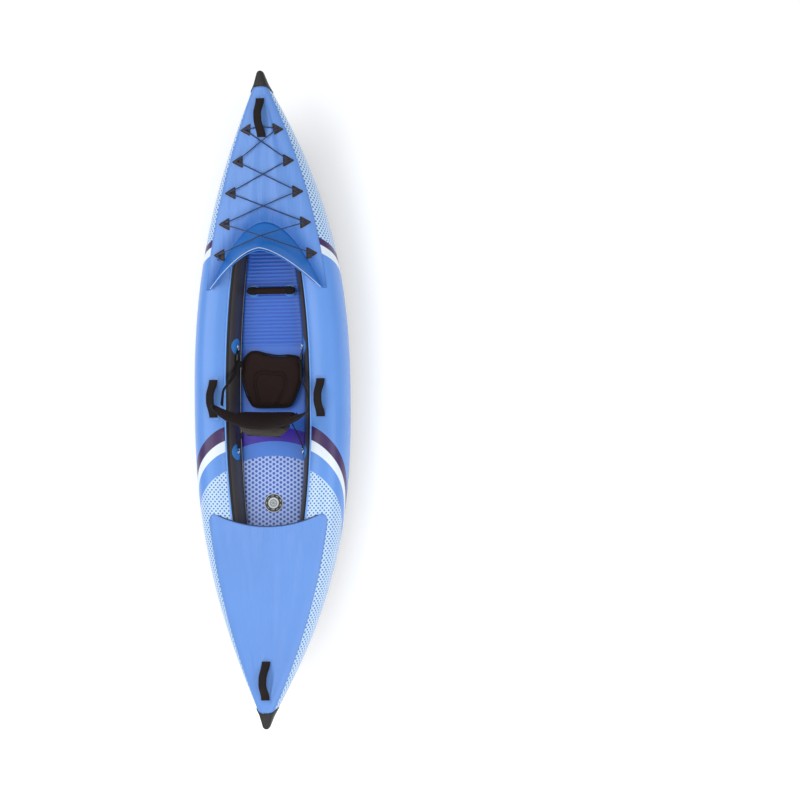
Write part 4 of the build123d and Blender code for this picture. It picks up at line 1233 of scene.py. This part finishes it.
def makePouch():
    near, depth, half, low = pouch["front"], pouch["depth"], pouch["half"], pouch["low"]
    left = [(near, half), (near - depth * 0.8, half * 0.94), (near - depth, half * 0.5)]
    outline = closedCurve(left + [(x, -y) for x, y in reversed(left)], 60)
    piece = slab("backPouch", outline, low, low + pouch["tall"], pouch["softness"])
    writePoints(piece, leanBack(readPoints(piece)))
    puff(piece, pouch["voxel"], pouch["pressure"], pouch["puff"])
    pouchCloth = coatedCloth("pouchCloth", (0.050, 0.042, 0.034), 0.75, 2400.0, 0.00035)
    place(piece, pouchCloth, ["back_pouch"], body="backrest")
    x, z = pouch["zipAt"]
    zipLine = leanBack(np.array([(x, y, z) for y in np.linspace(-pouch["zipHalf"], pouch["zipHalf"], 40)]))
    tapeCloth = wovenStrap("zipTape", (0.008, 0.007, 0.007), 3000.0)
    tape = tubeAlong("pouchZipTape", zipLine, 0.006, 8, flatten=0.25, up=(1, 0, 0.2))
    place(tape, tapeCloth, body="backrest")
    teeth = mouldedFinish("zipTeeth", (0.08, 0.07, 0.06), 0.4)
    sew("pouchZipTeeth", [zipLine + np.array([-0.0018, 0, 0])], teeth, "backrest",
        spacing=0.0024, length=0.0014, radius=0.0016)


footrest = {
    "half": 0.1245,
    "roundFrom": 0.108,
    "roundRun": 0.0165,
    "radius": 0.0172,
    "pinch": 0.0009,
    "pinchAt": 0.092,
    "ripple": 0.0004,
    "fill": 0.85,
}


def makeFootrest():
    low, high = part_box("footrest_bar")
    centre = (low + high) / 2
    ys = np.linspace(-footrest["half"], footrest["half"], 160)
    out = np.clip((np.abs(ys) - footrest["roundFrom"]) / footrest["roundRun"], 0, 1)
    radius = footrest["radius"] * np.sqrt(np.clip(1 - out ** 2.4, 0.004, 1))
    radius = radius - footrest["pinch"] * np.exp(-((np.abs(ys) - footrest["pinchAt"]) / 0.018) ** 2)
    radius = radius + footrest["ripple"] * np.sin(ys * 260) * smooth(0.02, 0.07, np.abs(ys))
    line = np.column_stack([np.full(ys.shape, centre.x), ys, np.full(ys.shape, centre.z)])
    piece = tubeAlong("footrestPad", line, radius, 40)
    place(piece, seatCloth, ["footrest_bar"])
    seam = np.column_stack([line[:, 0] + radius * 0.6, ys, centre.z + radius * 0.81])[8:-8]
    sew("footrestStitching", [seam], thread)


makeSeat()
makeBackrest()
makePouch()
makeFootrest()
print("seat, backrest, pouch and footrest made")


strapWeb = wovenStrap("strapWeb", (0.0070, 0.0055, 0.0055))
gripWeb = wovenStrap("gripWeb", (0.0100, 0.0065, 0.0060), 1500.0)
handle = {
    "length": 0.188,
    "footReach": 0.096,
    "rise": 0.043,
    "half": 0.0215,
    "flat": 0.20,
    "lean": 0.0085,
    "bowToTip": 0.234,
    "sternToTip": 0.239,
    "sideX": 0.007,
    "sideInboard": 0.012,
    "endLift": 0.0064,
    "sideLift": 0.0026,
}


def makeHandle(name, x, y, lift):
    reach = handle["footReach"]
    front, rear = float(deckZ(x + reach, y)), float(deckZ(x - reach, y))
    sag = float(deckZ(x, y)) - (front + rear) / 2
    base = (front + rear) / 2 + max(sag, 0) + lift
    slope = (front - rear) / (2 * reach)
    t = np.linspace(-1, 1, 90)
    along = t * handle["length"] / 2
    arch = smooth(1.0, 0.0, np.abs(t)) ** 0.85
    height = 0.0042 + (handle["rise"] - 0.0050) * smooth(0.98, 0.22, np.abs(t)) * (0.72 + 0.28 * arch)
    lean = handle["lean"] * smooth(0.95, 0.1, np.abs(t))
    path = np.column_stack([x + along, y + lean, base + slope * along + height])
    # flat webbing at the feet, a rounder sleeve at the grip
    width = handle["half"] * (1 - 0.06 * smooth(0.75, 0.45, np.abs(t)))
    piece = tubeAlong(name + "Grip", path, width, 28, flatten=handle["flat"])
    return piece, path, width


def makeHandles():
    bowX, sternX = hull["halfLength"] - handle["bowToTip"], handle["sternToTip"] - hull["halfLength"]
    sideY = float(tubeCentreY(handle["sideX"])) - handle["sideInboard"]
    spots = {
        "bow": (bowX, 0.0, handle["endLift"]),
        "stern": (sternX, 0.0, handle["endLift"]),
        "port": (handle["sideX"], sideY, handle["sideLift"]),
        "starboard": (handle["sideX"], -sideY, handle["sideLift"]),
    }
    for name, (x, y, lift) in spots.items():
        piece, path, width = makeHandle(name, x, y, lift)
        place(piece, gripWeb, [f"{name}_handle"])
        lines = []
        for side in (-1, 1):
            edge = path + np.array([0, 0, 0.0032])
            edge[:, 1] += side * width * 0.72
            lines.append(edge[6:-6])
        sew(name + "HandleStitching", lines, thread, spacing=0.0055, length=0.0036, radius=0.0005)


def ringSpot(x):
    z = float(tubeCentreZ(x)) + 0.050
    y = float(tubeSkinY(x, z)) - 0.009
    return np.array([x, y, z])


# webs are half width and half thickness
straps = {
    "front": 0.270,
    "rear": -0.260,
    "wingInset": 0.066,
    "web": (0.0095, 0.0012),
    "tailWeb": (0.0088, 0.0011),
}


def ribbon(name, points, half, thick, up):
    return tubeAlong(name, openCurve(points, 90), thick, 16, flatten=half / thick, up=up)


def makeStraps():
    front, rear = ringSpot(straps["front"]), ringSpot(straps["rear"])
    wingY = float(tubeCentreY(0.0)) - straps["wingInset"]
    top = float(tubeTop(0.0))
    frontLine = np.array([
        front + (-0.020, 0, 0),
        front + (-0.065, -0.001, 0.011),
        front + (-0.110, -0.002, 0.026),
        (front[0] - 0.175, front[1] + 0.016, top + 0.026),
        (front[0] - 0.228, wingY - 0.008, top + 0.038),
        (front[0] - 0.280, wingY, top + 0.040),
        (front[0] - 0.318, wingY - 0.002, top + 0.060),
    ])
    rearLine = np.array([
        rear + (0.020, 0, 0),
        rear + (0.045, -0.007, 0.011),
        rear + (0.070, -0.014, 0.022),
        rear + (0.124, -0.040, 0.034),
        rear + (0.140, -0.048, 0.040),
    ])
    pieces = {"front": (frontLine, ["front_seat_straps"]), "rear": (rearLine, ["rear_seat_straps"])}
    for name, (line, replaced) in pieces.items():
        for side, sign in (("port", 1), ("starboard", -1)):
            points = line * np.array([1, sign, 1])
            if name == "front":
                points[-3:, 0] += back["askew"] * points[-3:, 1] * np.array([0.6, 1, 1])
            piece = ribbon(f"{side}{name.capitalize()}Strap", points, *straps["web"], (0, 0.55 * sign, 1))
            piece.data.materials.append(strapWeb)
            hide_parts(*replaced)
            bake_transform(piece)
    # loose tail that hangs from each front buckle
    drops = np.array([(-0.068, -0.006, 0.012), (-0.090, -0.013, 0.004), (-0.108, -0.017, -0.020),
                      (-0.118, -0.018, -0.050)])
    for side, sign in (("port", 1), ("starboard", -1)):
        tail = (front + drops) * np.array([1, sign, 1])
        place(ribbon(f"{side}StrapTail", tail, *straps["tailWeb"], (1, 0, 0.3)), strapWeb)


makeHandles()
makeStraps()
print("handles and straps made")


lace = {
    "pairs": 5,
    "toBow": 0.291,
    "pitch": 0.153,
    "cord": 0.006,
    "ring": 0.009,
    "wire": 0.004,
    "seat": 0.0070,
    "overVisor": 0.094,
    "overFirst": 0.0110,
    "tail": 0.018,
    "near": 0.034,
    "nearCross": 0.012,
    "turnsPerMetre": 2600.0,
    "knotSize": 0.0014,
    "knotCord": 0.0021,
}


def lacePlaces():
    spots = []
    for pair in range(lace["pairs"]):
        x = hull["halfLength"] - lace["toBow"] - lace["pitch"] * pair
        y = float(tubeCentreY(x)) + 0.004
        lift = lace["seat"] + lace["ring"] + lace["wire"] / 2
        spots.append(np.array([x, y, float(deckZ(x, y)) + lift]))
    return spots


def laceRoute():
    spots = lacePlaces()
    pairs = lace["pairs"]
    order = list(range(pairs - 1, -1, -1)) + list(range(pairs))
    corners, kinds = [], []
    sign = 1
    for step, pair in enumerate(order):
        here = spots[pair] * np.array([1, sign, 1])
        if step > 0 and pair != order[step - 1]:
            last = corners[-1]
            cross = last + (here - last) * (-last[1] / (here[1] - last[1]))
            over = lace["overFirst"] if step > pairs else 0.0006
            if pairs - 1 in (pair, order[step - 1]):
                over += lace["overVisor"]
            corners.append(np.array([cross[0], 0, (last[2] + here[2]) / 2 + over]))
            kinds.append("cross")
        elif step > 0:
            corners.append(np.array([corners[-1][0] + 0.014, 0, corners[-1][2] + 0.005]))
            kinds.append("cross")
        corners.append(here)
        kinds.append("ring")
        sign = -sign
    tails = [spots[-1] * np.array([1, s, 1]) - np.array([lace["tail"], 0, 0]) for s in (1, -1)]
    corners = [tails[0]] + corners + [tails[1]]
    kinds = ["end"] + kinds + ["end"]
    route = []
    for i, (spot, kind) in enumerate(zip(corners, kinds)):
        if kind == "end":
            route.append(spot)
            continue
        before, after = corners[i - 1] - spot, corners[i + 1] - spot
        most = lace["near"] if kind == "ring" else lace["nearCross"]
        near = [min(most, np.linalg.norm(v) * 0.5) for v in (before, after)]
        sides = [spot + v / np.linalg.norm(v) * d for v, d in zip((before, after), near)]
        if kind == "ring":  # the middle point goes out, so that the line itself passes through the ring
            middle = spot + (2 * spot - sides[0] - sides[1]) / 6
            route += [sides[0], middle, sides[1]]
        else:  # a hump has two points at its top
            route += sides
    return np.array(route)


def cordFinish():
    made, tree, shader, spots = newMaterial("bungeeBraid", 0.62, sheen=0.2)
    along, around, _ = split(tree, spots.outputs["UV"])
    strands = []
    for twist in (25.13, -25.13):
        turn = calc(tree, "MULTIPLY", around, twist)
        spiral = calc(tree, "MULTIPLY_ADD", along, lace["turnsPerMetre"], turn)
        strands.append(calc(tree, "SINE", spiral))
    braid = calc(tree, "MAXIMUM", *strands)
    # painted shade: the braid's grooves are darker and its strand crests lighter, following the braid height
    # that also drives the bump
    colour = mix(tree, ramp(tree, braid, 0.2, 1.0), (0.003, 0.018, 0.075), (0.010, 0.045, 0.150))
    tree.links.new(colour, shader.inputs["Base Color"])
    addBump(tree, shader, braid, 0.0004)
    return made


def makeLacing():
    route = laceRoute()
    curve = bpy.data.curves.new("laceLine", "CURVE")
    curve.dimensions = "3D"
    spline = curve.splines.new("NURBS")
    spline.points.add(len(route) - 1)
    for spot, point in zip(route, spline.points):
        point.co = (*map(float, spot), 1)
    spline.order_u = 3
    spline.use_endpoint_u = True
    spline.resolution_u = 8
    guide = bpy.data.objects.new("laceGuide", curve)
    bpy.context.scene.collection.objects.link(guide)
    graph = bpy.context.evaluated_depsgraph_get()
    mesh = bpy.data.meshes.new_from_object(guide.evaluated_get(graph), depsgraph=graph)
    line = np.array([v.co for v in mesh.vertices])
    bpy.data.objects.remove(guide)
    piece = tubeAlong("deckBungee", line, lace["cord"] / 2, 12)
    braid = cordFinish()
    place(piece, braid, ["deck_lacing"])
    for side, sign in (("port", 1), ("starboard", -1)):
        spot = lacePlaces()[-1] * np.array([1, sign, 1]) - np.array([lace["tail"] + 0.0063, 0, 0])
        t = np.linspace(0, 2 * math.pi, 90, endpoint=False)
        loop = np.column_stack([np.sin(3 * t) * 0.9, np.sin(t) + 2 * np.sin(2 * t),
                                np.cos(t) - 2 * np.cos(2 * t)])
        knot = tubeAlong(f"{side}LaceKnot", spot + loop * lace["knotSize"], lace["knotCord"], 10, closed=True,
                         up=(0.3, 0.2, 1))
        place(knot, braid, ["lacing_knots"])


makeLacing()
print("deck lacing made")


nose = {
    "proud": 0.0042,
    "power": 3.0,
    "topFrom": 1.546,
    "sideFrom": 1.522,
    "taperFrom": 1.560,
    "tip": 1.6245,
    "ridge": 0.0009,
}


def makeNose(name, sign, replaced):
    turns = np.linspace(0, 2 * math.pi, 72, endpoint=False)
    cos, sin = np.cos(turns), np.sin(turns)
    power = 2 / nose["power"]
    rear = nose["sideFrom"] + (nose["topFrom"] - nose["sideFrom"]) * smooth(0.1, 1.0, sin)
    rows = []
    taper = nose["taperFrom"]
    slope = (tubeCentreZ(np.array(1.55 * sign)) - tubeCentreZ(np.array(1.50 * sign))) / 0.05
    for t in np.linspace(0, 1, 60):
        x = rear + (nose["tip"] - rear) * t
        at = np.minimum(x, taper) * sign
        beyond = np.clip((x - taper) / (nose["tip"] - taper), 0, 1)
        tip = np.clip((beyond - 0.78) / 0.22, 0, 1)
        shrink = (1 - 0.62 * beyond) * (0.03 + 0.97 * np.sqrt(1 - tip ** 2))
        half = (halfBreadth(at) + nose["proud"] * 0.7) * shrink
        tall = (tubeHalfHeight(at) + nose["proud"]) * shrink
        z0 = tubeCentreZ(at) + np.maximum(x - taper, 0) * slope
        ridge = nose["ridge"] * np.exp(-((t - 0.045) / 0.03) ** 2)
        y = np.sign(cos) * np.abs(cos) ** power * (half + ridge)
        z = z0 + np.sign(sin) * np.abs(sin) ** power * (tall + ridge)
        rows.append(np.column_stack([x * sign, y, z]))
    piece = outward(gridPiece(name, np.array(rows), wrap=True, caps=True, angle=70))
    return place(piece, capRubber, [replaced])


capRubber = mouldedFinish("capRubber", (0.012, 0.009, 0.009), 0.55, 500.0)
makeNose("bowNose", 1, "bow_cap")
makeNose("sternNose", -1, "stern_cap")
print("rubber ends made")


def steelFinish():
    made, tree, shader, spots = newMaterial("polishedSteel", 0.18, 1.0)
    marks = useGroup(tree, moulding, Vector=spots.outputs["Object"], Grain=900.0)
    tree.links.new(cloudy(tree, (0.70, 0.70, 0.71), marks.outputs["Flow"], 0.08), shader.inputs["Base Color"])
    roughen(tree, shader, marks.outputs["Rub"], 0.18, 0.16)
    return made


valveAt = (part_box("floor_valve_body")[0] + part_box("floor_valve_body")[1]) / 2


def valveFinish(name, rings, colour, mark, arcs):
    # moulded valve with paler rings, and short arcs between them
    made, tree, shader, spots = newMaterial(name, 0.4)
    skin = useGroup(tree, moulding, Vector=spots.outputs["Object"], Grain=900.0)
    x, y, _ = split(tree, spots.outputs["Object"])
    dx, dy = calc(tree, "SUBTRACT", x, valveAt.x), calc(tree, "SUBTRACT", y, valveAt.y)
    squares = [calc(tree, "MULTIPLY", value, value) for value in (dx, dy)]
    radius = calc(tree, "SQRT", calc(tree, "ADD", *squares))
    turn = calc(tree, "ARCTAN2", dy, dx)
    base = cloudy(tree, colour, skin.outputs["Flow"], 0.15)
    for low, high, count in rings:
        inRing = band(tree, radius, low, high, 0.0004)
        if count:
            wave = calc(tree, "SINE", calc(tree, "MULTIPLY", turn, float(count)))
            gate = ramp(tree, wave, arcs, arcs + 0.1)
            inRing = calc(tree, "MULTIPLY", inRing, gate)
        base = mix(tree, inRing, base, mark)
    tree.links.new(base, shader.inputs["Base Color"])
    roughen(tree, shader, skin.outputs["Rub"], 0.15, 0.38)
    addBump(tree, shader, skin.outputs["Height"], 0.0001)
    return made


def finishFittings():
    steel = steelFinish()
    black = mouldedFinish("mouldedBlack", (0.018, 0.017, 0.018), 0.42)
    grey = mouldedFinish("valveGrey", (0.36, 0.37, 0.37), 0.4)
    finBlack = mouldedFinish("finBlack", (0.010, 0.010, 0.011), 0.34, 380.0)
    bluePatch = coatedCloth("patchBlue", (0.045, 0.26, 0.72), 0.4)
    repaint(["wall_rings", "snap_hooks"], steel)
    makeSprings(steel)
    repaint(["lacing_rings", "strap_buckles", "port_valve_body", "starboard_valve_body"], black)
    repaint(["port_valve_cap", "starboard_valve_cap"], grey)
    repaint([f"{v}_valve_plunger" for v in ("floor", "port", "starboard")], grey)
    repaint(["floor_valve_body"], valveFinish("valveRing", [(0.0440, 0.0466, 0), (0.0350, 0.0372, 9)],
                                              (0.014, 0.016, 0.016), (0.62, 0.66, 0.66), 0.1))
    repaint(["floor_valve_cap"], valveFinish("valveCap", [(0.0195, 0.0262, 0), (0.0060, 0.0140, 8)],
                                             (0.26, 0.28, 0.28), (0.66, 0.70, 0.70), 0.0))
    repaint(["fin", "fin_box"], finBlack)
    repaint(["wall_patches", "footrest_patches"], bluePatch)
    repaint(["bow_handle_pads", "stern_handle_pads", "port_handle_pads", "starboard_handle_pads"], deckBlue)
    repaint(["footrest_loops"], strapWeb)


spring = {"height": 0.022, "radius": 0.0062, "wire": 0.0006, "turns": 5}


def makeSprings(steel):
    # each spring stands on its valve's floor and is pressed together by the plunger
    t = np.linspace(0, 1, 240)
    turn = t * 2 * math.pi * spring["turns"]
    for name in ("floor", "port", "starboard"):
        low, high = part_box(f"{name}_valve_spring")
        inwards = Vector(jointNamed(f"{name}_valve_push")["axis"]).normalized()
        side = inwards.orthogonal().normalized()
        other = inwards.cross(side)
        middle = np.array((low + high) / 2)
        along = (0.5 - t)[:, None] * spring["height"] * np.array(inwards)
        around = np.cos(turn)[:, None] * np.array(side) + np.sin(turn)[:, None] * np.array(other)
        around = spring["radius"] * around
        piece = tubeAlong(f"{name}ValveSpring", middle + along + around, spring["wire"], 8, up=tuple(inwards))
        piece.data.materials.append(steel)
        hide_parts(f"{name}_valve_spring")
        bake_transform(piece)


def roundedTriangle(reach, wide, tip, corner=0.006, steps=7):
    corners = np.array([(-reach / 2, -wide * 0.45), (reach / 2, -wide * 0.45), (0.0, wide * tip)])
    outline = []
    for i in range(3):
        here, before, after = corners[i], corners[i - 1], corners[(i + 1) % 3]
        start = here + (before - here) / np.linalg.norm(before - here) * corner * 1.7
        end = here + (after - here) / np.linalg.norm(after - here) * corner * 1.7
        for t in np.linspace(0, 1, steps):
            outline.append(start * (1 - t) ** 2 + 2 * here * t * (1 - t) + end * t * t)
    return np.array(outline)


patch = {
    "reach": 0.066,
    "wide": 0.062,
    "tip": 0.50,
    "thick": 0.0026,
    "above": 0.0012,
    "rim": 0.0010,
    "rings": (1.0, 0.97, 0.90, 0.80, 0.72, 0.55, 0.3, 0.0),
}


def patchFinish():
    # dark rim and ring, brown middle
    made, tree, shader, spots = newMaterial("lacePatch", 0.55)
    skin = useGroup(tree, moulding, Vector=spots.outputs["Object"], Grain=520.0)
    out, _, _ = split(tree, spots.outputs["UV"])
    dark = calc(tree, "MAXIMUM", ramp(tree, out, 0.66, 0.74), band(tree, out, 0.22, 0.36, 0.03))
    brown = cloudy(tree, (0.040, 0.021, 0.014), skin.outputs["Flow"], 0.25)
    base = mix(tree, dark, brown, (0.009, 0.006, 0.006))
    tree.links.new(base, shader.inputs["Base Color"])
    roughen(tree, shader, skin.outputs["Rub"], 0.12, 0.52)
    addBump(tree, shader, skin.outputs["Height"], 0.00015)
    return made


def makeLacePatches():
    # each patch lies on the curved deck edge, with a raised rim; its first row is the underside's edge
    outline = roundedTriangle(patch["reach"], patch["wide"], patch["tip"])
    finish, lines = patchFinish(), []
    lifts = [0.0] + [patch["thick"] * (1 if ring < 1 else 0.5) for ring in patch["rings"]]
    for number, spot in enumerate(lacePlaces()):
        for side, sign in (("port", 1), ("starboard", -1)):
            rows, maps = [], []
            for ring, lift in zip((1.0, *patch["rings"]), lifts):
                x, y = spot[0] + outline[:, 0] * max(ring, 0.001), spot[1] + outline[:, 1] * max(ring, 0.001)
                if 0.75 < ring < 0.95:
                    lift += patch["rim"]
                base = deckZ(x, y) + deck["cloth"] + patch["above"]
                rows.append(np.column_stack([x, sign * y, base + lift]))
                maps.append(np.column_stack([np.full(len(x), ring), np.zeros(len(x))]))
            piece = gridPiece(f"{side}LacePatch{number + 1}", np.array(rows), wrap=True, uv=np.array(maps),
                              caps=True)
            place(outward(piece), finish, ["lacing_patches"])
            x, y = spot[0] + outline[:, 0] * 0.9, spot[1] + outline[:, 1] * 0.9
            top = deckZ(x, y) + deck["cloth"] + patch["above"] + patch["thick"] + 0.0012
            seam = np.column_stack([x, sign * y, top])
            lines.append(np.vstack([seam, seam[:1]]))
    laceThread = coatedCloth("laceThread", (0.075, 0.045, 0.030), 0.6)
    sew("lacePatchStitching", lines, laceThread, spacing=0.0048, length=0.0032, radius=0.0005)


finishFittings()
makeLacePatches()
print("fittings finished")
